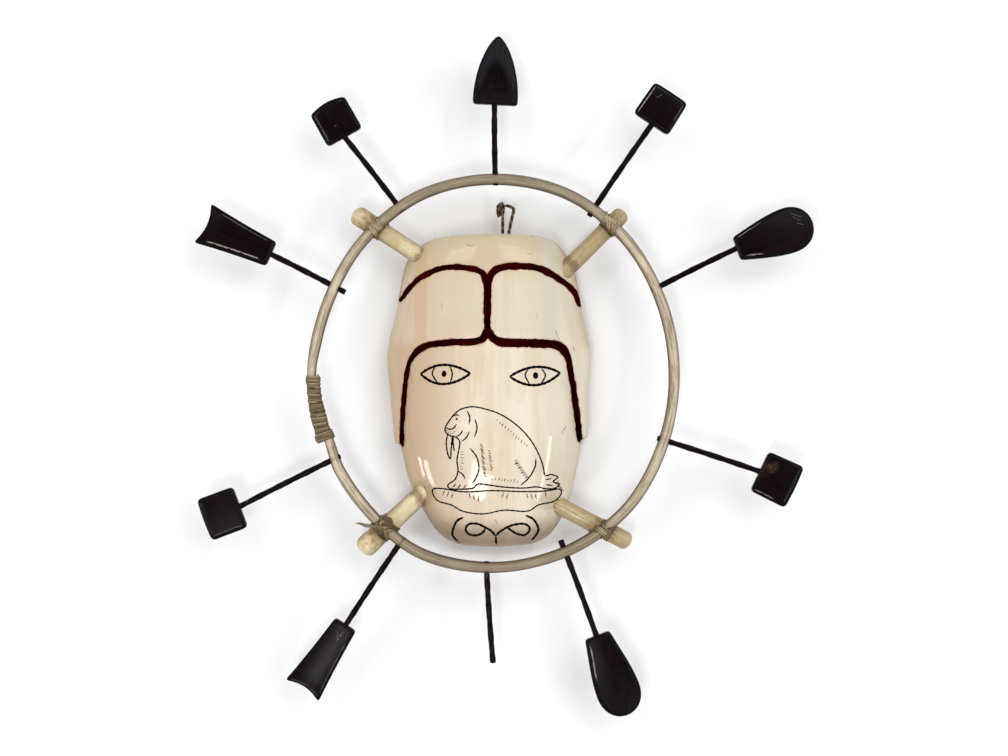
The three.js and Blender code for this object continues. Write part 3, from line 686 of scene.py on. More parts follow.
mask_tree = BVHTree.FromPolygons([tuple(p) for p in np.vstack(mask_form.points)],
                                 [f for f in mask_form.faces if len(f) == 4])


def face_height(x, y):
    hit = mask_tree.ray_cast(Vector((x, y, 40)), Vector((0, 0, -1)))
    return hit[0].z if hit[0] else side_height


def ink_line(form, points, width, closed=False, taper=0.35, steps=8):
    """One engraved line through the points, thinner towards its ends, draped on the face."""
    line = smooth_line(points, steps, closed) if len(points) > 2 else np.array(points, float)
    if closed:
        line = np.vstack([line, line[:1]])
    line = evenly(line, ink_step)
    along = unit(ahead_along(line))
    side = np.column_stack([-along[:, 1], along[:, 0]])
    place = np.linspace(0, 1, len(line))
    half = np.full(len(line), width / 2)
    if not closed:
        from_end = np.minimum(place, 1 - place) * len(line) * ink_step
        half *= 1 - (1 - taper) * np.clip(1 - from_end / ink_taper, 0, 1) ** 1.5
    half *= 1 + 0.12 * np.sin(place * len(line) * 0.9 + points[0][0])
    rings = []
    for point, offset, reach in zip(line, side, half):
        left, right = point + offset * reach, point - offset * reach
        heights = [face_height(*left), face_height(*right)]
        rings.append([
            (*left, heights[0] + ink_rise), (*right, heights[1] + ink_rise),
            (*right, heights[1] - ink_sink), (*left, heights[0] - ink_sink),
        ])
    rings = np.array(rings)
    form.add_rings(rings, lie=rings)


def ink_spot(form, middle, size):
    """A filled oval pit, as wide and as tall as size."""
    turn = circle(20)
    rings = []
    for share, drop in ((0.0, 0), (1.0, 0), (1.0, 1)):
        x = middle[0] + share * size[0] / 2 * np.cos(turn)
        y = middle[1] + share * size[1] / 2 * np.sin(turn)
        z = np.array([face_height(*p) for p in zip(x, y)]) + (ink_rise if not drop else -ink_sink)
        rings.append(np.column_stack([x, y, z]))
    form.add_rings(np.array(rings), lie=np.array(rings))


eye_line = 0.74
eyes = {
    "left": {
        "corners": [(-24.4, 1.15), (-9.95, 1.3)], "top": (-17.7, 3.8), "bottom": (-17.9, -1.75),
        "iris": [[(-20.2, 3.35), (-20.95, 1.1), (-19.35, -1.45)],
                 [(-15.8, 3.45), (-15.15, 1.1), (-15.7, -1.3)]],
        "pupil": (-17.55, 1.21), "pupil_size": (1.4, 1.9),
    },
    "right": {
        "corners": [(1.45, 0.4), (16.1, 1.45)], "top": (9.0, 3.2), "bottom": (9.0, -2.05),
        "iris": [[(6.75, 2.7), (5.9, 0.6), (7.2, -1.75)],
                 [(10.6, 2.85), (11.75, 0.7), (10.4, -1.75)]],
        "pupil": (8.91, 0.72), "pupil_size": (1.55, 1.95),
    },
}
eye_form = Form()
for eye in eyes.values():
    (inner_x, inner_y), (outer_x, outer_y) = eye["corners"]
    for lid in ("top", "bottom"):
        mid_x, mid_y = eye[lid]
        share = np.linspace(-1, 1, 17)
        lid_x = np.where(share < 0, mid_x + share * (mid_x - inner_x), mid_x + share * (outer_x - mid_x))
        base = inner_y + (outer_y - inner_y) * (lid_x - inner_x) / (outer_x - inner_x)
        middle_base = inner_y + (outer_y - inner_y) * (mid_x - inner_x) / (outer_x - inner_x)
        lid_y = base + (mid_y - middle_base) * (1 - np.abs(share) ** 2)
        ink_line(eye_form, list(zip(lid_x, lid_y)), eye_line, taper=0.6, steps=3)
    for arc in eye["iris"]:
        ink_line(eye_form, arc, eye_line * 0.6)
    ink_spot(eye_form, eye["pupil"], eye["pupil_size"])
eye_form.piece("eyes_engraving", soot.material, "ink")

chin_line = 0.68
chin_curls = [
    [(-12.0, -40.35), (-14.05, -41.7), (-15.3, -45.2), (-14.65, -46.8), (-13.1, -48.6)],
    [(6.0, -39.75), (8.4, -41.1), (9.8, -43.9), (9.05, -46.0), (7.8, -47.5)],
    [(-2.5, -48.8), (-2.6, -46.0)],
    [(-2.6, -46.0), (-4.05, -44.3), (-5.7, -43.3), (-7.75, -42.3), (-9.8, -42.2), (-11.0, -42.9),
     (-11.3, -44.3), (-10.2, -45.55), (-8.15, -45.75), (-6.5, -44.95), (-5.5, -43.5)],
    [(-2.6, -46.0), (-1.55, -44.75), (0.65, -43.3), (2.9, -42.5), (5.35, -42.3), (7.0, -43.1), (7.1, -44.55),
     (5.75, -45.75), (3.7, -45.35), (1.7, -44.15), (0.65, -43.1)],
]
chin_form = Form()
for curl in chin_curls:
    ink_line(chin_form, curl, chin_line, taper=0.4)
chin_form.piece("chin_engraving", soot.material, "ink")

# the animal: a walrus propped up on its fore flippers on an ice floe, places counted from its own middle
walrus_middle = (-2.6, -21.6)
body_line, hatch_line = 0.41, 0.3
walrus_body = [
    (-9.8, 12.7), (-11.6, 11.5), (-13.1, 9.7), (-14.3, 7.9), (-14.6, 6.3), (-13.4, 5.0), (-11.6, 4.6),
    (-10.4, 3.2), (-10.7, 0.6), (-11.2, -2.2), (-10.9, -5.0), (-11.7, -7.6), (-13.8, -9.3), (-13.1, -10.4),
    (-9.8, -10.5), (-6.6, -10.2), (-5.2, -9.0), (-2.6, -9.2), (2.6, -9.9), (8.0, -10.2), (11.8, -9.9),
    (14.4, -10.5), (17.2, -10.4), (18.5, -9.2), (16.6, -8.5), (18.0, -7.2), (16.0, -6.4), (14.3, -6.6),
    (13.7, -4.0), (12.4, -0.4), (10.0, 3.8), (6.4, 7.7), (1.8, 10.9), (-2.8, 12.6), (-6.6, 13.3),
]
walrus_strokes = [
    [(-13.9, 5.4), (-14.3, 2.8), (-13.9, -0.2), (-13.1, -1.7), (-12.9, 0.8), (-12.7, 3.2), (-12.5, 4.9)],
    [(-12.2, 4.8), (-12.3, 2.6), (-11.9, 0.4)],
    [(-14.5, 7.4), (-13.3, 6.8), (-12.1, 7.2), (-11.3, 8.3)],
    [(-13.9, 9.0), (-13.4, 8.5)],
    [(-12.1, 10.6), (-11.3, 11.0), (-10.5, 10.6)],
    [(-11.5, 4.7), (-10.3, 5.3), (-9.5, 6.6)],
    [(-8.3, 12.2), (-7.5, 10.3), (-7.7, 8.2)],
    [(-9.9, 3.3), (-8.5, 4.4), (-7.6, 6.2)],
    [(-6.0, 9.8), (-5.4, 7.2), (-6.1, 4.6)],
    [(-7.4, 1.4), (-5.4, -1.4), (-4.9, -4.8), (-5.9, -7.6), (-6.9, -8.8)],
    [(-10.9, -5.2), (-9.4, -6.4), (-8.9, -7.6)],
    [(-12.5, -10.1), (-11.5, -9.0)],
    [(-11.0, -10.3), (-10.1, -9.1)],
    [(-9.3, -10.3), (-8.6, -9.2)],
    [(7.2, -9.4), (9.6, -7.2), (11.3, -4.2), (11.6, -1.6)],
    [(16.6, -9.6), (14.5, -9.3)],
    [(16.2, -7.5), (14.3, -7.9)],
]
floe_outline = [
    (-18.4, -10.9), (-15.6, -10.4), (-9.0, -11.3), (-1.0, -10.9), (7.0, -11.2), (13.8, -11.2),
    (18.4, -10.7), (19.0, -12.2), (17.0, -14.2), (12.4, -15.2), (9.0, -17.0), (2.4, -16.6),
    (-3.6, -17.7), (-9.4, -17.0), (-12.8, -15.2), (-17.0, -13.9),
]


def place_on_face(points):
    return [(x + walrus_middle[0], y + walrus_middle[1]) for x, y in points]


def hatch_stroke(form, x, y, length, angle, taper=0.35):
    tip = (x + length * math.cos(angle), y + length * math.sin(angle))
    ink_line(form, place_on_face([(x, y), tip]), hatch_line, taper=taper)


def hatch_row(form, start, end, count, length, lean):
    """A row of short strokes from start to end, each leaning by an angle in degrees."""
    for k in range(count):
        share = k / (count - 1)
        x, y = (between(a, b, share) for a, b in zip(start, end))
        reach = length * (0.75 + 0.5 * ((k * 7) % 5) / 5)
        angle = math.radians(lean + 9 * math.sin(k * 2.1))
        hatch_stroke(form, x, y, reach, angle, taper=0.3)


walrus_form = Form()
ink_line(walrus_form, place_on_face(walrus_body), body_line, closed=True)
for stroke in walrus_strokes:
    ink_line(walrus_form, place_on_face(stroke), body_line)
ink_spot(walrus_form, place_on_face([(-11.3, 9.8)])[0], (0.7, 0.6))
# rows of hair: (from, to, how many, their length, their lean), at the shoulder twice, along the back, on the
# haunch, under the belly and on the chest
hair_rows = [
    ((-4.6, 2.6), (-3.6, -6.4), 17, 1.25, -32), ((-2.2, 0.8), (-1.6, -4.6), 9, 1.0, -38),
    ((0.6, 9.8), (9.2, 2.4), 12, 0.9, -118), ((6.2, -2.0), (9.6, -7.0), 12, 1.3, -155),
    ((-1.2, -7.8), (6.0, -8.6), 9, 0.9, 58), ((-10.0, 0.4), (-10.2, -4.6), 7, 0.8, -12),
]
for hair_row in hair_rows:
    hatch_row(walrus_form, *hair_row)
# the whiskers, then the floe with the cracks in its edge
for x, y in [(-14.0, 6.6), (-13.5, 6.0), (-12.9, 6.3), (-12.3, 5.8), (-13.0, 5.5), (-11.8, 6.4)]:
    ink_line(walrus_form, place_on_face([(x, y), (x - 0.35, y - 0.5)]), hatch_line)
ink_line(walrus_form, place_on_face(floe_outline), body_line, closed=True, steps=5)
floe_cracks = [
    (-15.4, -12.4, 70), (-14.2, -12.8, 66), (-13.0, -13.2, 62), (-7.4, -13.2, 100), (-6.2, -13.7, 96),
    (-5.0, -14.2, 92), (1.8, -13.0, 74), (3.0, -13.4, 70), (9.4, -13.2, 110), (10.6, -13.4, 106),
    (11.8, -13.6, 102), (14.6, -12.9, 96),
]
crack_length = 1.6
for x, y, lean in floe_cracks:
    hatch_stroke(walrus_form, x, y, crack_length, math.radians(lean))
walrus_form.piece("walrus_engraving", soot.material, "ink")

# Pegs
# Four round ivory rods, thicker and rounded at the outer end, driven into holes in the mask's sides. They
# are from the tusk's yellow core side, and the lashings' glue has stained them brown at the hoop.
peg_height = 11
peg_depth = 5
# stained: how far glue has browned the peg, outward and inward from the hoop
pegs = {
    "top_left": {"root": (-24.5, 35.4), "end": (-44.3, 48.3), "radius": 2.5, "end_radius": 2.85,
                 "tone": 0.3, "stained": (6.5, 2.2)},
    "top_right": {"root": (19.4, 33.1), "end": (35.0, 48.6), "radius": 2.5, "end_radius": 2.5,
                  "tone": 1.2, "stained": (2.2, 2.5)},
    "bottom_left": {"root": (-25.0, -34.5), "end": (-42.0, -50.6), "radius": 2.6, "end_radius": 3.2,
                    "tone": 0.0, "stained": (8.0, 2.0)},
    "bottom_right": {"root": (13.5, -36.1), "end": (36.8, -48.3), "radius": 2.5, "end_radius": 2.65,
                     "tone": 1.0, "stained": (4.6, 4.5)},
}
dome_share = 0.8

hoop_middle = (-3.4, 1.6)
hoop_radius = 1.65
hoop_height = 15.6
# distance from the hoop's middle to its centreline, every 22.5 degrees from the right, anticlockwise
hoop_reach = [
    52.5, 52.9, 54.5, 56.0, 56.0, 55.5, 53.6, 52.0, 52.2, 52.3, 53.7, 56.4, 56.5, 56.0, 55.3, 53.4,
]
hoop_turns = circle(len(hoop_reach))
hoop_knots = np.column_stack([hoop_middle[0] + hoop_reach * np.cos(hoop_turns),
                              hoop_middle[1] + hoop_reach * np.sin(hoop_turns)])


def hoop_places(turns):
    """Points of the hoop's centreline, its direction there and the way out of it. Turn 0.25 is the top."""
    places = np.mod(turns, 1.0) * len(hoop_reach)
    at = spline_at(hoop_knots, places, True)
    ahead = spline_at(hoop_knots, np.mod(places + 0.01, len(hoop_reach)), True)
    along = unit(ahead - at)
    return at, along, np.column_stack([along[:, 1], -along[:, 0]])


def crossing(peg):
    """Where the hoop passes over a peg: the turn, the place, the hoop's direction and the peg's."""
    root = np.array(peg["root"], float)
    along = unit(np.array(peg["end"], float) - root)
    turns = np.arange(2880) / 2880
    at, tangents, _ = hoop_places(turns)
    away = at - root
    miss = np.abs(away[:, 0] * along[1] - away[:, 1] * along[0])
    best = int(np.argmin(np.where(away @ along > 0, miss, 1e9)))
    return turns[best], at[best], tangents[best], along


def rings_up(rings):
    """1 along the top of a lying rod, 0 at its sides and -1 along its bottom."""
    height = rings[..., 2] - rings[..., 2].mean(axis=1, keepdims=True)
    return height / np.maximum(np.abs(height).max(axis=1, keepdims=True), 1e-6)


peg_ivory = Finish("yellowed peg ivory", {
    "Coat Weight": 0.45, "Coat Roughness": 0.1, "Specular IOR Level": 0.15,
})
streak = peg_ivory.use(fibre, Across=2.2, Along=0.22)
core, broad = peg_ivory.use(cloud, Size=1.6), peg_ivory.use(cloud, Size=6.0)
peg_ivory.colour = peg_ivory.blend(broad, (0.58, 0.44, 0.22), (0.80, 0.68, 0.43))
peg_ivory.lay(core * 0.5, (0.80, 0.73, 0.53))
peg_ivory.lay(streak * 0.3, (0.40, 0.27, 0.11))
# painted shade: the peg's sides and underside are darker than its top
peg_ivory.lay(peg_ivory.note("up").ramp(0.1, 0.95, 0.9, 0), (0.17, 0.105, 0.04))
peg_tone = peg_ivory.note("tone")
peg_ivory.lay(peg_tone * 0.6, (0.31, 0.225, 0.095))
peg_ivory.lay(peg_ivory.use(cloud, Size=0.45).ramp(0.9, 1.0) * peg_tone * 0.7, (0.14, 0.08, 0.03))
tie_stain = (peg_ivory.note("tie") + core.ramp(0, 1, -0.22, 0.22)).ramp(0.25, 1.1, 1, 0)
peg_ivory.lay(tie_stain * 0.85, (0.26, 0.145, 0.035))
root_stain = (peg_ivory.note("root") + core.ramp(0, 1, -0.4, 0.4)).ramp(0.3, 2.2, 1, 0)
peg_ivory.lay(root_stain * 0.7, (0.16, 0.09, 0.04))
peg_ivory.finish(streak.ramp(0, 1, 0.3, 0.48), core, 0.25, 0.08)

for name, peg in pegs.items():
    root, end = (np.array((*peg[key], peg_height), float) for key in ("root", "end"))
    along = unit(end - root)
    start = root - along * peg_depth
    length = np.linalg.norm(end - start)
    dome = peg["end_radius"] * dome_share
    lengths = np.concatenate([np.linspace(0, length - dome, 70)[:-1],
                              length - dome + dome * np.sin(np.linspace(0, math.pi / 2, 16)[:-1])])
    swell = np.interp(lengths / length, [0, 0.35, 0.55, 0.75, 0.87, 1], [0, 0.25, 0.5, 0.78, 1, 1])
    radii = between(peg["radius"], peg["end_radius"], swell)
    past = np.clip((lengths - (length - dome)) / dome, 0, 1)
    radii = radii * np.sqrt(1 - past**2.3)
    around = circle(40)
    lumps = (1 + 0.012 * np.sin(2 * around[None, :] + lengths[:, None] * 0.31)
             + 0.008 * np.sin(3 * around[None, :] - lengths[:, None] * 0.57 + length))
    line = start + along * lengths[:, None]
    lumpy = radii[:, None] * lumps
    rings = tube_rings(line, lumpy * np.cos(around), lumpy * np.sin(around))
    _, tie_at, _, _ = crossing(peg)
    past_tie = lengths - np.linalg.norm(tie_at - start[:2])
    outward, inward = peg["stained"]
    tie = np.where(past_tie > 0, past_tie / outward, -past_tie / inward)
    lie_notes = side_by_side(radii[:, None] * np.cos(around), lengths[:, None] + length * 9,
                             radii[:, None] * np.sin(around))
    peg_form = Form()
    peg_form.add_rings(rings, lie=lie_notes, tie=tie, root=np.abs(lengths - peg_depth), up=rings_up(rings),
                       tone=np.full(rings.shape[:2], peg["tone"]))
    peg_form.piece("ivory_peg_" + name, peg_ivory.material, "peg_ivory", "peg_" + name)

# Hoop
# One slender rod of willow, steamed and bent round. Its two ends are pared thin and lie side by side on the
# left. Its grain runs with the bend, and the holes for the stems are burnt dark at their rims.
splice_top, splice_bottom = 180.5 / 360, 202.2 / 360
outer_end = {"root": 1.35, "tip": 0.75}
inner_end = {"root": 1.45, "tip": 0.25}
pared_height = {"root": 1.25, "tip": 0.8}
end_gap = 0.2
splice_ease = 0.5
stem_radius = 0.8
stem_tenon = 4
# the two ends of each stem's middle line
stems = {
    "top": ((-2.7, 55.8), (-2.9, 79.2)), "upper_left": ((-29.8, 48.4), (-46.4, 69.7)),
    "upper_right": ((24.4, 46.9), (42.5, 73.2)), "left": ((-46.2, 24.8), (-67.8, 35.8)),
    "right": ((43.6, 25.9), (67.2, 37.5)), "lower_left": ((-47.6, -22.6), (-76.8, -37.3)),
    "lower_right": ((44.2, -17.4), (73.8, -27.1)), "bottom_left": ((-30.4, -47.9), (-45.9, -71.4)),
    "bottom_right": ((16.2, -47.0), (26.5, -74.7)), "bottom_middle": ((-5.4, -53.1), (-3.4, -82.6)),
}

willow = Finish("bent willow", {"Coat Weight": 0.25, "Coat Roughness": 0.15, "Specular IOR Level": 0.2})
grain = willow.use(fibre, Across=2.0, Along=0.06)
fine_grain = willow.use(fibre, Across=9.0, Along=0.3)
willow.colour = willow.blend(willow.use(cloud, Size=7.0), (0.40, 0.31, 0.205), (0.60, 0.51, 0.37))
willow.lay(grain.ramp(0.45, 0.85, 0, 0.75), (0.19, 0.125, 0.07))
willow.lay(fine_grain.ramp(0.5, 0.9, 0, 0.5), (0.78, 0.70, 0.54))
willow.lay(willow.note("tone") * 0.7, (0.19, 0.14, 0.085))
# painted shade: the hoop's sides and underside are darker than its top
willow.lay(willow.note("up").ramp(0.4, 1.0, 0.92, 0), (0.085, 0.06, 0.035))
burnt = (willow.note("hole") + grain.ramp(0, 1, -0.25, 0.25)).ramp(0.85, 1.5, 1, 0)
willow.lay(burnt * 0.85, (0.025, 0.016, 0.01))
willow.finish(grain.ramp(0, 1, 0.42, 0.6), fine_grain, 0.35, 0.06)

hoop_steps = 900
overlap = splice_bottom - splice_top
travelled = np.linspace(0, 1 + overlap, hoop_steps)
turns = splice_bottom - travelled
from_outer, from_inner = travelled / overlap, (1 + overlap - travelled) / overlap
outer_place, inner_place = np.clip(1 - from_outer, 0, 1), np.clip(from_inner, 0, 1)
outer_free = smoothstep(from_outer, 1, 1 + splice_ease)
inner_free = smoothstep(from_inner, 1, 1 + splice_ease)


def outer_half(place):
    return between(outer_end["root"], outer_end["tip"], place)


def inner_half(place):
    return between(inner_end["tip"], inner_end["root"], place)


near_outer = from_outer < from_inner
half_width = np.where(near_outer, between(outer_half(outer_place), hoop_radius, outer_free),
                      between(inner_half(inner_place), hoop_radius, inner_free))
outer_height = between(pared_height["root"], pared_height["tip"], outer_place)
inner_height = between(pared_height["tip"], pared_height["root"], inner_place)
half_height = np.where(near_outer, between(outer_height, hoop_radius, outer_free),
                       between(inner_height, hoop_radius, inner_free))
off = np.where(near_outer, between(inner_half(outer_place) + end_gap / 2, 0, outer_free),
               between(-outer_half(inner_place) - end_gap / 2, 0, inner_free))
at, _, out = hoop_places(turns)
around = circle(32)
wavy = 1 + 0.02 * np.sin(turns * 61)[:, None] + 0.012 * np.sin(2 * around[None, :] + turns[:, None] * 40)
hoop_rings = np.zeros((len(turns), len(around), 3))
spread = off[:, None] + half_width[:, None] * wavy * np.cos(around)
hoop_rings[..., :2] = at[:, None, :] + out[:, None, :] * spread[..., None]
hoop_rings[..., 2] = hoop_height + half_height[:, None] * wavy * np.sin(around)
# how far each place of the hoop is from the nearest stem's middle line, for the burnt rims of the holes
hole = np.full(hoop_rings.shape[:2], 9.0)
for start, end in stems.values():
    start, end = np.array(start), np.array(end)
    direction = unit(end - start)
    away = hoop_rings[..., :2] - start
    beside = away[..., 0] * direction[1] - away[..., 1] * direction[0]
    ahead = away @ direction
    reach = np.hypot(beside, hoop_rings[..., 2] - hoop_height)
    hole = np.where((ahead > -2) & (ahead < 9), np.minimum(hole, reach), hole)
grain_reach = 54
hoop_along = turns * 2 * math.pi * grain_reach
hoop_lie = side_by_side(half_width[:, None] * np.cos(around), hoop_along[:, None],
                        half_height[:, None] * np.sin(around))
hoop_form = Form()
# the top and the bottom of the hoop are darker than its sides
hoop_tone = smoothstep(np.abs(hoop_rings[..., 1] - hoop_middle[1]), 32, 52)
hoop_form.add_rings(hoop_rings, lie=hoop_lie, hole=hole, up=rings_up(hoop_rings), tone=hoop_tone)
hoop_form.piece("willow_hoop", willow.material, "bent_wood", "hoop")

# Sinew bindings
# Strands of dried sinew, wound wet and shrunk tight: over the hoop and under each peg both ways across, and
# in close turns round the hoop's two pared ends. Glue has browned them, and the turns through the corners
# are laid darker still as painted shade.
strand_flat = 0.5
hoop_mean = 53.5
random_wind = random.Random(7)

dried_sinew = Finish("dried sinew", {"Specular IOR Level": 0.2})
threads, glue = dried_sinew.use(fibre, Across=6.0, Along=0.25), dried_sinew.use(cloud, Size=1.3)
strand_tone = dried_sinew.note("tone")
dried_sinew.colour = dried_sinew.blend(strand_tone, (0.035, 0.020, 0.006), (0.70, 0.57, 0.35))
dried_sinew.lay(threads * 0.3, (0.12, 0.07, 0.03))
dried_sinew.lay(glue * 0.22, (0.28, 0.17, 0.06))
dried_sinew.finish(glue.ramp(0, 1, 0.4, 0.62), threads, 0.5, 0.06)


def strand(form, line, width, tone, closed=True, thick=None, faces_out=None):
    """A flattened strand of sinew along a line, its broad side turned to faces_out where that is given."""
    thick = thick or width * strand_flat
    tone = np.broadcast_to(np.asarray(tone, float), len(line))
    around = circle(8)
    across, up = (width / 2 * np.cos(around))[None], (thick / 2 * np.sin(around))[None]
    if faces_out is None:
        rings = tube_rings(line, across, up, closed)
    else:
        side = unit(np.cross(ahead_along(line, closed), faces_out))
        rings = line[:, None] + side[:, None] * across[..., None] + faces_out[:, None] * up[..., None]
        # painted shade: each strand is darker down its sides and underneath, and lighter along its top
        tone = tone * between(0.3, 1.15, smoothstep(faces_out[:, 2], 0.2, 0.97))
    lie_notes = side_by_side(across, gone_along(line)[:, None] + tone.mean() * 50, up)
    form.add_rings(rings, closed, lie=lie_notes, tone=tone)


def winding_line(peg, hand, shift, lift, steps=56):
    """A turn over the hoop and under the peg, through the two corners that hand gives, shifted sideways."""
    _, at, hoop_way, peg_way = crossing(peg)
    peg_radius = between(peg["radius"], peg["end_radius"], 0.7)
    across = unit(hoop_way * peg_radius + peg_way * hand * hoop_radius)
    side = np.array([-across[1], across[0]])
    rounds = [(hoop_radius, hoop_height, hoop_way), (peg_radius, peg_height, peg_way)]
    rounds = [(height, radius / abs(side @ way) + lift, radius + lift) for radius, height, way in rounds]
    line, outward = [], []
    for k in range(steps):
        turn = 2 * math.pi * (k + 0.5) / steps
        cos, sin = math.cos(turn), math.sin(turn)
        height, wide, tall = max(rounds, key=lambda r: math.hypot(r[1] * cos, r[2] * sin) + r[0] * sin)
        size = math.hypot(wide * cos, tall * sin)
        middle = at + across * (wide**2 * cos / size) + side * shift
        line.append((*middle, height + tall**2 * sin / size))
        outward.append((*(across * cos), sin))
    return np.array(line), np.array(outward)


def rod_turn(middle, way, height, radius, slant, steps=40):
    """A turn round one rod, leaning by slant degrees from square across it."""
    turn = circle(steps)
    side = np.array([-way[1], way[0]])
    lean = math.tan(math.radians(slant)) * radius
    flat = middle + side * (radius * np.cos(turn))[:, None] + way * (lean * np.cos(turn))[:, None]
    line = np.column_stack([flat, height + radius * np.sin(turn)])
    return line, np.column_stack([side * np.cos(turn)[:, None], np.sin(turn)])


def wobble(reach):
    return random_wind.uniform(-reach, reach)


def hoop_beside(turn_at, away):
    """The hoop's middle and its direction, a distance along it from one of its turns."""
    at, way, _ = hoop_places([turn_at + away / (2 * math.pi * hoop_mean)])
    return at[0], way[0]


# each tie: turns through the corners (hand, how many, tone), turns round the hoop (where along it, how many,
# pitch, slant, spread of slant, tone), and turns round the peg beside the hoop (which side, how many, tone)
thread = 0.36
ties = {
    "top_left": {
        "corners": [(1, 2, 0.2), (-1, 2, 0.16)],
        "hoop": [(0.0, 9, 0.42, 20, 14, 0.56), (0.2, 4, 0.7, -16, 20, 0.5)],
        "peg": [(-1, 1, 0.25)],
    },
    "top_right": {
        "corners": [(1, 2, 0.2), (-1, 2, 0.3)],
        "hoop": [(0.0, 8, 0.5, -35, 12, 0.45)],
        "peg": [(-1, 2, 0.1)],
    },
    "bottom_left": {
        "corners": [(1, 4, 0.14), (-1, 4, 0.08)],
        "hoop": [(-1.0, 6, 0.75, 28, 24, 0.26), (-0.9, 5, 0.8, -24, 24, 0.2)],
        "peg": [(-1, 3, 0.16), (1, 4, 0.1)],
    },
    "bottom_right": {
        "corners": [(1, 2, 0.08), (-1, 2, 0.06)],
        "hoop": [(-0.3, 6, 0.42, -10, 6, 0.12), (-0.5, 3, 0.62, -14, 3, 0.7)],
        "peg": [(1, 4, 0.22)],
    },
}
for name, tie in ties.items():
    lashing_form = Form()
    peg = pegs[name]
    turn_at, tie_at, hoop_way, peg_way = crossing(peg)
    # the turns through the corners carry low tones: glue's browning and painted shade
    for hand, count, tone in tie["corners"]:
        for k in range(count):
            shift = (k - (count - 1) / 2) * thread + wobble(0.05)
            line, outward = winding_line(peg, hand, shift, 0.08 + random_wind.uniform(0, 0.08))
            strand(lashing_form, line, thread, tone + wobble(0.12), faces_out=outward)
    for middle, count, pitch, slant, spread, tone in tie["hoop"]:
        for k in range(count):
            away = middle + (k - (count - 1) / 2) * pitch + wobble(0.08)
            at, way = hoop_beside(turn_at, away)
            lift = 0.16 + random_wind.uniform(0, 0.22)
            lean = slant + wobble(spread)
            line, outward = rod_turn(at, way, hoop_height, hoop_radius + lift, lean)
            own_tone = tone + (0.16 if k % 2 else -0.12) + wobble(0.1)
            width = thread * random_wind.uniform(0.8, 1.15)
            strand(lashing_form, line, width, own_tone, faces_out=outward)
    for side, count, tone in tie["peg"]:
        for k in range(count):
            away = side * (hoop_radius + 0.12 + 0.36 * k + wobble(0.08))
            at = tie_at + peg_way * away
            radius = between(peg["radius"], peg["end_radius"], 0.75) + 0.1 + random_wind.uniform(0, 0.12)
            line, outward = rod_turn(at, peg_way, peg_height, radius, wobble(8))
            strand(lashing_form, line, thread, tone + random_wind.uniform(-0.12, 0.2), faces_out=outward)
    if name == "top_right":
        # four pale strands lie at a low angle to the hoop and run on past the peg's end
        strand_pitch = 0.38
        for k in range(4):
            inward = np.array([-0.5, -0.87]) * strand_pitch * k
            flat_line = smooth_line([(28.9, 46.9), (30.3, 46.4), (32.0, 45.5), (33.5, 44.4)], 8)
            flat_line = flat_line + inward
            off_middle = (flat_line - tie_at) @ peg_way
            surface = np.sqrt(np.maximum((hoop_radius + 0.28) ** 2 - off_middle**2, 0.2))
            laid = np.column_stack([flat_line, hoop_height + surface])
            laid[[0, -1], 2] -= 0.3
            strand(lashing_form, laid, thread, 0.8 - 0.12 * k, closed=False)
    if name == "bottom_left":
        # a lump of brown glue has soaked the whole crossing
        lump_reach, lump_off, lump_middle, lump_rise = 2.9, 0.9, 14.2, 3.4
        turn, rise = circle(28), np.linspace(-math.pi / 2, math.pi / 2, 20)[1:-1, None]
        lumpy = 1 + 0.09 * np.sin(3 * turn + 4 * rise) + 0.06 * np.sin(7 * turn - 5 * rise)
        reach_out = lump_reach * np.cos(rise) ** 0.7 * lumpy
        along_hoop, along_peg = reach_out * np.cos(turn) - lump_off, reach_out * np.sin(turn)
        lump = tie_at + hoop_way * along_hoop[..., None] + peg_way * along_peg[..., None]
        lump_height = lump_middle + lump_rise * np.sin(rise) * lumpy
        lump = np.concatenate([lump, lump_height[..., None]], axis=-1)
        lashing_form.add_rings(lump, lie=lump, tone=0.09 + 0.07 * np.sin(5 * turn + 9 * rise))
        # the sinew's cut end sticks out to the left, curled and pointed, and a thread rings the hoop beyond
        tail = smooth_line([(-36.6, -43.0, 16.6), (-38.4, -42.9, 16.6), (-40.4, -42.7, 16.1),
                            (-42.0, -42.2, 15.7), (-43.4, -42.15, 15.4)], 8)
        around = circle(12)
        thin = np.interp(np.linspace(0, 1, len(tail)), [0, 0.5, 0.8, 1], [0.5, 0.5, 0.3, 0.06])[:, None]
        rings = tube_rings(tail, thin * np.cos(around), 0.55 * thin * np.sin(around))
        gone = np.linspace(0, 8, len(tail))[:, None]
        tail_lie = side_by_side(thin * np.cos(around), gone, thin * np.sin(around))
        lashing_form.add_rings(rings, lie=tail_lie, tone=np.full(rings.shape[:2], 0.25))
        for away in (5.6, 5.95):
            at, way = hoop_beside(turn_at, away)
            line, outward = rod_turn(at, way, hoop_height, hoop_radius + 0.05, 6)
            strand(lashing_form, line, 0.2, 0.1, faces_out=outward)
    if name == "top_left":
        # a tuft of frayed fibres, green-brown with age
        for k in range(16):
            away = hoop_way * random_wind.uniform(-1.6, 1.4) - peg_way * random_wind.uniform(1.1, 1.8)
            start = np.array((*(tie_at + away), random_wind.uniform(15.6, 16.8)))
            bend = np.array([wobble(0.7) for axis in "xyz"])
            end = start + np.array((*(-peg_way * random_wind.uniform(0.2, 0.8)), -0.5)) + bend * 0.7
            frayed = smooth_line([start, (start + end) / 2 + bend * 0.3, end], 5)
            tone = random_wind.uniform(-0.02, 0.4)
            strand(lashing_form, frayed, 0.16, tone, closed=False, thick=0.12)
    lashing_form.piece("sinew_lashing_" + name, dried_sinew.material, "sinew", "lashing_" + name)

wrap_strand = 0.36
wrap_start, wrap_stop = 0.03, 1.0
splice_reach = 52.3
wrap_length = overlap * 2 * math.pi * splice_reach * (wrap_stop - wrap_start)
wrap_turns = round(wrap_length / (wrap_strand * 0.9))


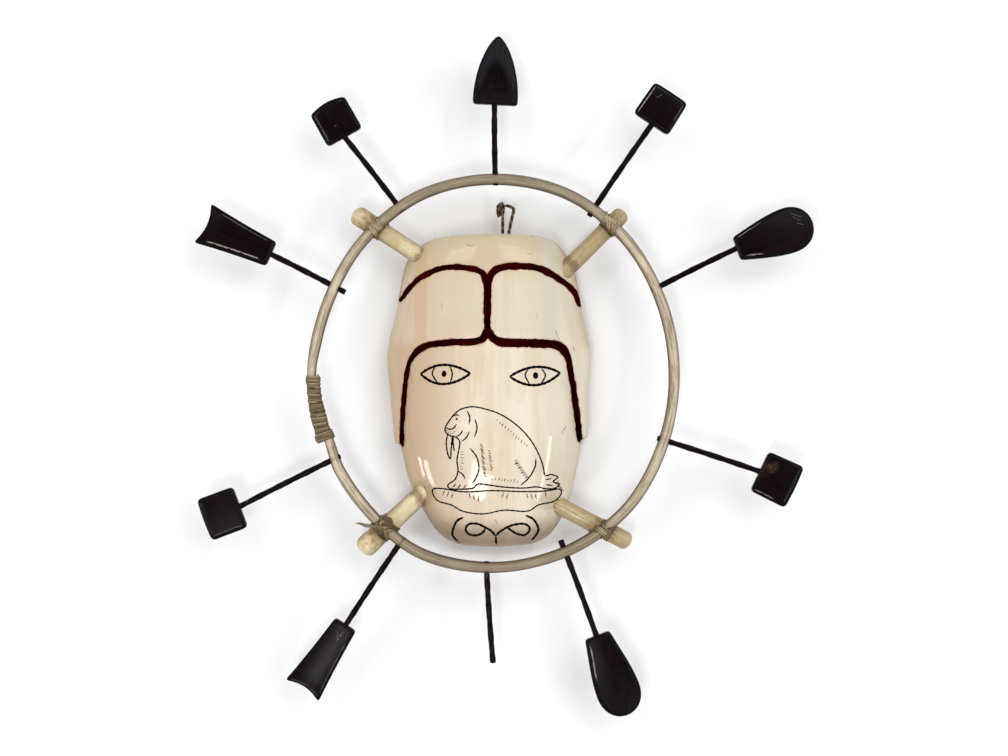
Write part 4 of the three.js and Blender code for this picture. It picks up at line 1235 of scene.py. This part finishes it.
def wrap_point(place, turn, lift):
    """Points on the winding over the splice: place runs from its top to its bottom, turn round the rods."""
    at, _, out = hoop_places(between(splice_top, splice_bottom, place))
    inside = np.clip(place, 0, 1)
    wide = outer_half(inside) + inner_half(inside) + end_gap / 2 + lift
    tall = hoop_radius - 0.1 + lift
    flat = at + out * (wide * np.cos(turn))[:, None]
    outward = unit(np.column_stack([out * (tall * np.cos(turn))[:, None], wide * np.sin(turn)]))
    return np.column_stack([flat, hoop_height + tall * np.sin(turn)]), outward


wrap_form = Form()
wrap_turn = 2 * math.pi * np.linspace(0, wrap_turns, wrap_turns * 26)
wrap_share = wrap_turn / wrap_turn[-1]
wrap_place = between(wrap_start, wrap_stop, wrap_share) + 0.004 * np.sin(wrap_turn * 0.37)
lumps = 0.06 * np.sin(wrap_turn * 0.083) + 0.05 * np.sin(wrap_turn * 0.031 + 1)
# glue has filled the middle, and the last few turns bulge before the bare rod comes out
bulge = (0.3 * np.exp(-(((wrap_share - 0.93) / 0.05) ** 2))
         + 0.12 * np.exp(-(((wrap_share - 0.05) / 0.04) ** 2)))
line, outward = wrap_point(wrap_place, wrap_turn, 0.1 + lumps + bulge)
wrap_tone = (0.17 + 0.13 * np.sin(wrap_turn * 0.19) * np.sin(wrap_turn * 0.043 + 1)
             + 0.1 * np.sin(wrap_turn * 0.77))
strand(wrap_form, line, wrap_strand, wrap_tone, closed=False, faces_out=outward, thick=0.2)
# wider turns laid over it: (from, to, turns, tone, lift)
over_turns = [(0.03, 0.16, 2.5, 0.5, 0.3), (0.05, 0.1, 2.0, 0.22, 0.34), (0.2, 0.42, 2.0, 0.4, 0.22),
              (0.99, 0.86, 3.5, 0.4, 0.5), (0.5, 0.62, 1.5, 0.1, 0.24), (0.62, 0.75, 1.5, 0.45, 0.2),
              (0.9, 0.97, 2.5, 0.15, 0.52)]
for first, last, turns_over, tone, lift in over_turns:
    over = 2 * math.pi * np.linspace(0, turns_over, round(turns_over * 30))
    place = between(first, last, over / over[-1])
    line, outward = wrap_point(place, over + first * 9, np.full(len(over), lift))
    strand(wrap_form, line, wrap_strand * 1.25, tone, closed=False, faces_out=outward, thick=0.24)
wrap_form.piece("sinew_splice_wrap", dried_sinew.material, "sinew", "splice_wrap")

# Stems and blades
# Black baleen, split and whittled. Each stem goes through the hoop with a stub inside it, and its other end
# is let into a blade. The blades are sawn to four outlines, bevelled all round and rubbed to a soft shine.
blade_thickness = 3.4
# edges: the sides that are cut wider or carry a painted highlight line, each as (the way it faces in
# degrees, extra width of its bevel, how bright its painted highlight line is, where that line begins and
# ends as shares of the length)
blades = {
    "top": {"kind": "arch", "at": (-2.8, 79.3), "heading": 87, "length": 19.7, "inner": 12.7, "outer": 9.0,
            "edges": []},
    "upper_left": {"kind": "square", "at": (-46.35, 69.85), "heading": 119.4, "length": 10.3, "inner": 11.2,
                   "outer": 11.1, "bulge": 0.8, "edges": [(209, 0.35, 0.35, 0, 1), (119, 0.25, 0.45, 0, 1)]},
    "upper_right": {"kind": "square", "at": (42.35, 73.65), "heading": 56.5, "length": 10.5, "inner": 11.7,
                    "outer": 11.2, "bulge": 0.1,
                    "edges": [(146, 0.15, 1.0, 0, 0.95), (57, 0.1, 0.4, 0, 1), (-33, 0.1, 0.3, 0.4, 1)]},
    "left": {"kind": "fishtail", "at": (-67.8, 35.95), "heading": 155.6, "length": 21.6, "inner": 7.4,
             "outer": 12.1, "edges": [(243, 0.6, 1.0, 0.08, 0.85), (68, 0.2, 0.3, 0.1, 0.8)]},
    "right": {"kind": "teardrop", "at": (67.35, 37.5), "heading": 19.5, "length": 23.0, "inner": 6.8,
              "outer": 13.0, "edges": [(120, 0.1, 0.6, 0, 0.35), (-78, 0.5, 0.8, 0.03, 0.25)]},
    "lower_left": {"kind": "square", "at": (-76.8, -37.4), "heading": 200.6, "length": 10.7, "inner": 12.3,
                   "outer": 12.4, "bulge": 0.2, "edges": [(201, 0.4, 0.22, 0, 1), (-69, 0.4, 0.2, 0, 1)]},
    "lower_right": {"kind": "square", "at": (74.0, -27.05), "heading": -25.4, "length": 10.8, "inner": 12.4,
                    "outer": 12.8, "bulge": 0.2, "edges": [(-25, 0.5, 0.3, 0, 1), (-115, 0.2, 0.6, 0, 0.6)]},
    "bottom_left": {"kind": "fishtail", "at": (-46.15, -71.5), "heading": 236.6, "length": 22.8,
                    "inner": 6.9, "outer": 11.2,
                    "edges": [(-33, 0.15, 0.35, 0.2, 0.9), (237, 0.0, 0.3, 0.8, 1)]},
    "bottom_right": {"kind": "teardrop", "at": (26.8, -74.7), "heading": -69.1, "length": 24.4, "inner": 7.3,
                     "outer": 12.6, "edges": [(195, 0.55, 1.0, 0.03, 0.45)]},
}

baleen = Finish("rubbed baleen", {"Specular IOR Level": 0.05})
hair, band = baleen.use(fibre, Across=5.0, Along=0.1), baleen.use(fibre, Across=0.6, Along=0.05)
wear = baleen.use(cloud, Size=1.1)
rim = baleen.note("rim")
satin_sheen = baleen.note("satin") * hair.ramp(0, 1, 0.55, 1)
baleen.colour = baleen.blend(band, (0.0020, 0.0010, 0.0016), (0.0065, 0.0024, 0.0040))
baleen.lay(hair * 0.3, (0.014, 0.007, 0.008))
# painted sheen: a pale grey-blue sheen laid where the face is satin
baleen.lay(satin_sheen, (0.017, 0.016, 0.021))
# painted sheen: the bevels are laid a little greyer than the flat face
baleen.lay(rim.ramp(0.9, 1.05, 0.6, 0), (0.005, 0.0042, 0.0048))
baleen.lay(baleen.note("warm") * wear.ramp(0.1, 0.8, 0.35, 1), (0.060, 0.033, 0.014))
# painted highlight: pale lines along the arrises where lamps would glint; the outer edges are rubbed brown
# in places
ragged_rim = rim + wear.ramp(0, 1, -0.05, 0.05)
painted_highlight_line = abs(ragged_rim - 1.0).ramp(0.06, 0.2, 1, 0) * baleen.note("shine")
baleen.lay(painted_highlight_line * wear.ramp(0.1, 0.6, 0.45, 1), (0.32, 0.28, 0.26))
baleen.lay(ragged_rim.ramp(0.02, 0.2, 1, 0) * wear.ramp(0.4, 0.9, 0, 0.7), (0.05, 0.032, 0.022))
# single scratches: (across, along) of each end on its blade, and the blade's place in the list
blade_nicks = [
    ((1.9, 8.6), (2.9, 6.9), 2), ((0.3, 4.0), (1.3, 3.8), 1), ((-1.0, 2.3), (0.2, 4.6), 7),
    ((0.6, 1.8), (0.4, 5.2), 7), ((-0.3, 3.4), (1.0, 3.0), 7), ((1.2, 19.9), (3.6, 18.0), 4),
    ((2.4, 20.6), (4.3, 17.9), 4), ((0.0, 20.4), (1.4, 18.6), 4),
]
nick_width = 0.07
# each piece's lie begins this far along from the one before, so that no two have the same grain
lie_step, stem_lie_step = 90, 70
scratch(baleen, [((from_x, from_y + lie_step * order), (to_x, to_y + lie_step * order), nick_width)
                 for (from_x, from_y), (to_x, to_y), order in blade_nicks], 0.4, (0.26, 0.22, 0.20))
baleen.finish(hair.ramp(0, 1, 0.16, 0.24) + satin_sheen * 0.22, hair, 0.2, 0.03)

# the stems are whittled four-sided with soft corners
squareness = 2.6
for order, (name, (start, end)) in enumerate(stems.items()):
    start, end = np.array((*start, hoop_height), float), np.array((*end, hoop_height), float)
    along = unit(end - start)
    if name in blades:
        end = end + along * stem_tenon
    length = np.linalg.norm(end - start)
    near_end = np.array([0, 0.08, 0.25])
    lengths = np.concatenate([near_end, np.linspace(0.5, length - 0.5, 60), length - near_end[::-1]])
    rounding = np.interp(lengths, [0, 0.25, length - 0.25, length], [0.8, 1, 1, 0.8])
    whittled = 1 + 0.06 * np.sin(lengths * 0.83 + order) + 0.03 * np.sin(lengths * 2.1 + order * 2)
    bow = 0.16 * np.sin(math.pi * lengths / length) * (-1) ** order
    line = start + along * lengths[:, None]
    line[:, :2] += np.array([-along[1], along[0]]) * bow[:, None]
    around = circle(20) + 0.4
    across, up = np.abs(np.cos(around)), np.abs(np.sin(around))
    corner = (across**squareness + up**squareness) ** (-1 / squareness)
    size = stem_radius * 1.05 * (rounding * whittled)[:, None] * corner
    rings = tube_rings(line, size * np.cos(around), size * np.sin(around))
    stem_lie = side_by_side(size * np.cos(around), lengths[:, None] + stem_lie_step * order,
                            size * np.sin(around))
    stem_form = Form()
    stem_form.add_rings(rings, lie=stem_lie, rim=np.full(rings.shape[:2], 3.0))
    stem_form.piece("baleen_stem_" + name, baleen.material, "baleen", "stem_" + name)


def curve(steps, *points):
    """Places along a Bezier curve, without its last point."""
    t = np.linspace(0, 1, steps + 1)[:-1, None]
    last = len(points) - 1
    pulls = [math.comb(last, k) * (1 - t) ** (last - k) * t**k for k in range(len(points))]
    return sum(pull * np.array(point) for pull, point in zip(pulls, points))


def half_outline(kind, length, inner, outer, bulge=0.0):
    """Half of a blade's outline, from the middle of its inner edge to its tip: x out along it, y across."""
    low_in, low_out = -inner / 2, -outer / 2
    start, tip = [(0, 0)], [(length, 0)]
    if kind == "square":
        corner = 0.9
        end_edge = curve(24, (length, corner + low_out), (length + 2 * bulge, 0),
                         (length, -low_out - corner))
        return np.vstack([
            start, curve(6, (0, corner + low_in), (0, low_in), (corner, low_in)), [(corner, low_in)],
            curve(6, (length - corner, low_out), (length, low_out), (length, corner + low_out)),
            end_edge[:13],
        ])
    if kind == "fishtail":
        waist = between(inner, outer, 0.36)
        end_edge = curve(24, (length, low_out), (length - 3, 0), (length, -low_out))
        return np.vstack([
            start, curve(40, (0, low_in), (length * 0.55, -waist / 2), (length, low_out)), end_edge[:13],
        ])
    if kind == "teardrop":
        widest = length * 0.7
        return np.vstack([
            start,
            curve(30, (0, low_in), (length * 0.3, -outer * 0.4), (length * 0.5, low_out), (widest, low_out)),
            curve(24, (widest, low_out), (length * 0.88, low_out), (length, -outer * 0.28), (length, 0)),
            tip,
        ])
    side = curve(44, (0, low_in), (length * 0.36, -inner * 0.53), (length * 0.86, -outer * 0.45),
                 (length, 0))
    return np.vstack([start, side, tip])


def rounded_outline(half, softness, step=0.3):
    """The whole outline from its half, anticlockwise and evenly spaced, with its corners softened."""
    half = evenly(half, step)
    whole = np.vstack([half, half[-2:0:-1] * (1, -1)])
    near = np.arange(-9, 10)
    weights = np.exp(-((near / softness) ** 2) / 2)
    soft = sum(np.roll(whole, -k, axis=0) * w for k, w in zip(near, weights / weights.sum()))
    ahead = unit(ahead_along(soft, True))
    # the softening has drawn the outline in by a hair, so it is let out again
    drawn_in = 0.14
    return soft + drawn_in * np.column_stack([ahead[:, 1], -ahead[:, 0]])


# each kind's bevel as its width and its fall, where its spine begins and ends as shares of the length, and
# how soft its corners are
blade_kinds = {
    "square": ((0.8, 0.45), (0.42, 0.58), 1.6), "fishtail": ((0.75, 0.5), (0.22, 0.74), 2.0),
    "teardrop": ((0.75, 0.5), (0.3, 0.7), 1.8), "arch": ((0.7, 0.5), (0.22, 0.8), 1.8),
}
scoop_middle, scoop_size = (2.5, 2.7), 2.1


def blade_relief(name, kind, x, y, length, width):
    """How far a blade's face stands below flat at a place, in mm: its scoops, ridges and falls."""
    u = x / length
    if kind == "square":
        dish = 0.1 * ((u - 0.5) * 2) ** 2 + 0.1 * (2 * y / width) ** 2
        if name == "lower_right":
            from_scoop = np.hypot(x - scoop_middle[0], y - scoop_middle[1]) / scoop_size
            dish = dish + 0.35 * (1 - smoothstep(from_scoop, 0.2, 1.0))
        return dish
    if kind == "fishtail":
        return 0.4 * np.abs(2 * y / width) ** 2 + 0.3 * smoothstep(u, 0.75, 1.0)
    if kind == "teardrop":
        return 0.3 * np.abs(2 * y / width) ** 2 + 0.6 * smoothstep(u, 0.3, 1.1)
    ridge = 0.55 * np.minimum(np.abs(y) / (width * 0.32), 1) * smoothstep(u, 0.3, 0.7)
    arch_reach = np.hypot((u - 0.2) / 0.42, y / (width * 0.27))
    scoop = 0.3 * (1 - smoothstep(arch_reach, 0.1, 1.0)) * smoothstep(u, 0.12, 0.32)
    return ridge + scoop + 0.3 * np.abs(2 * y / width) ** 3 + 0.05


def blade_finish(name, kind, x, y, length, width):
    """How satin and how warm a blade's face is at a place, from 0 to 1; where it is satin a pale sheen is
    painted.
    """
    u = x / length
    satin, warm = np.zeros(x.shape), np.zeros(x.shape)
    if kind == "teardrop":
        satin = 0.5 * smoothstep(u, 0.35, 1.0) * smoothstep(y, -5, 4)
    if kind == "arch":
        arch_reach = np.hypot((u - 0.2) / 0.42, y / (width * 0.3))
        satin = 0.9 * smoothstep(arch_reach, 0.8, 1.3) * smoothstep(u, 0.15, 0.35)
        satin = satin + 0.35 * (1 - smoothstep(u, 0.1, 0.25))
    if name == "bottom_left":
        satin = 0.35 * smoothstep(u, 0.9, 1.0)
        warm = 0.07 * (1 - smoothstep(u, 0.3, 0.7))
    if name == "lower_left":
        warm = np.full(x.shape, 0.02)
    if name == "lower_right":
        from_scoop = np.hypot(x - scoop_middle[0], (y - scoop_middle[1]) * 1.1) / scoop_size
        from_stem = np.hypot(x, y - 0.5)
        warm = 0.65 * (1 - smoothstep(from_scoop, 0.35, 1.15)) + 0.2 * (1 - smoothstep(from_stem, 1, 4))
    return satin, warm


back_shares = np.array([0, 0.05, 0.14, 0.4, 1.0])
front_shares = np.linspace(0, 1, 33) ** 1.35
for order, (name, blade) in enumerate(blades.items()):
    kind, length = blade["kind"], blade["length"]
    half = half_outline(kind, length, blade["inner"], blade["outer"], blade.get("bulge", 0.0))
    (width, fall), spine_shares, softness = blade_kinds[kind]
    outline = rounded_outline(half, softness)
    heading = math.radians(blade["heading"])
    ahead = ahead_along(outline, True)
    facing = np.arctan2(-ahead[:, 0], ahead[:, 1]) + heading
    widths, shine = np.full(len(outline), width), np.zeros(len(outline))
    share = outline[:, 0] / length
    for way, extra, brightness, begin, stop in blade["edges"]:
        toward = smoothstep(np.cos(facing - math.radians(way)), 0.72, 0.93)
        begun = smoothstep(share, begin - 0.04, begin + 0.04)
        ended = smoothstep(share, stop - 0.06, stop + 0.06)
        widths += extra * toward
        shine = np.maximum(shine, brightness * toward * (begun * (1 - ended)))
    near = np.arange(-4, 5)
    widths = sum(np.roll(widths, k) for k in near) / len(near)
    first, last = (length * end_share for end_share in spine_shares)
    spine = np.column_stack([np.clip(outline[:, 0], first, last), np.zeros(len(outline))])
    closed = np.vstack([outline, outline[:1]])
    shares = np.concatenate([front_shares[::-1], back_shares])
    flat = between(outline[None], spine[None], shares[:, None, None])
    depth_in = reach_to_lines(flat.reshape(-1, 2), [closed]).reshape(flat.shape[:2])
    rim_note = depth_in / widths
    drop = fall * np.clip(1 - rim_note, 0, 1) * (0.75 + 0.25 * np.clip(1 - rim_note, 0, 1) ** 3)
    x, y = flat[..., 0], flat[..., 1]
    widest = max(blade["inner"], blade["outer"])
    relief = blade_relief(name, kind, x, y, length, widest)
    satin, warm = blade_finish(name, kind, x, y, length, widest)
    front = (np.arange(len(shares)) < len(front_shares))[:, None]
    height = np.where(front, blade_thickness / 2 - drop - relief, drop - blade_thickness / 2)
    placed = np.zeros((*flat.shape[:2], 3))
    turn = np.array([(math.cos(heading), math.sin(heading)), (-math.sin(heading), math.cos(heading))])
    placed[..., :2] = flat @ turn + np.array(blade["at"])
    placed[..., 2] = height + hoop_height
    blade_lie = np.stack([y, x + lie_step * order, height], axis=-1)
    rows, around = placed.shape[:2]
    faces = skin_faces(rows, around, True)[: (rows - 1) * around]
    shine = np.broadcast_to(shine, rim_note.shape)
    notes = {"rim": rim_note, "satin": satin, "warm": warm, "shine": shine}
    notes = {note: values.reshape(-1) for note, values in notes.items()}
    blade_form = Form()
    blade_form.add(placed.reshape(-1, 3), faces, lie=blade_lie.reshape(-1, 3), **notes)
    blade_form.piece("baleen_blade_" + name, baleen.material, "baleen", "blade_" + name)

# Studio
# A plain pale floor just under the piece, a soft white sky that darkens overhead, two large soft boxes, and
# small ones in the places of a room's windows, which the polished ivory reflects.
floor_size = 3.0
bpy.ops.mesh.primitive_plane_add(size=floor_size, location=(0, 0, -0.05 * MM))
floor = bpy.context.object
floor.name = "floor"
pale_floor = Finish("pale floor")
coordinates = add_node(pale_floor.tree, "ShaderNodeTexCoord").outputs["Object"]
floor_noise = noise(pale_floor.tree, coordinates, 9.0)
pale_floor.colour = pale_floor.blend(floor_noise, (0.95, 0.95, 0.95), (0.97, 0.97, 0.97))
pale_floor.finish(floor_noise.ramp(0, 1, 0.7, 0.8))
floor.data.materials.append(pale_floor.material)

world = bpy.data.worlds.new("studio sky")
bpy.context.scene.world = world
world.use_nodes = True
sky = world.node_tree
background = sky.nodes["Background"]
background.inputs["Color"].default_value = (1, 1, 1, 1)
sky_height = parts_of(sky, add_node(sky, "ShaderNodeTexCoord").outputs["Generated"])[2]
# the ceiling over the camera is dark, so that polished faces that look straight up keep their own colour
sky.links.new(sky_height.ramp(0.72, 0.92, 0.62, 0.06).socket, background.inputs["Strength"])

# each flat lamp looks at the piece: (place, width and height, watts, roll about its own axis in degrees)
soft_boxes = {
    "key box": ((0.9, 0.3, 1.1), (1.0, 1.4), 5.9, 0),
    "fill box": ((-0.8, -0.2, 1.2), (0.8, 1.2), 1.0, 0),
    "top pane left": ((-0.42, 0.5, 1.0), (0.45, 0.5), 1.9, -40),
    "top pane right": ((0.36, 0.5, 1.0), (0.55, 0.5), 2.2, 36),
    "left window, low pane": ((-1.04, -0.3, 0.4), (0.13, 0.11), 0.7, 0),
    "left window, high pane": ((-1.0, -0.37, 0.655), (0.24, 0.16), 1.6, 0),
    "right window": ((0.75, -0.31, 0.85), (0.4, 0.08), 1.1, 0),
    "middle window": ((-0.13, -0.27, 1.0), (0.2, 0.24), 2.0, 0),
}
for name, (place, (width, height), watts, roll) in soft_boxes.items():
    light = bpy.data.lights.new(name, "AREA")
    light.shape = "RECTANGLE"
    light.size, light.size_y = width, height
    light.energy = watts
    lamp = bpy.data.objects.new(name, light)
    lamp.location = place
    aim = (-Vector(place)).to_track_quat("-Z", "Y")
    lamp.rotation_euler = (aim @ Quaternion((0, 0, 1), math.radians(roll))).to_euler()
    bpy.context.scene.collection.objects.link(lamp)

bpy.context.scene.view_settings.view_transform = "Standard"
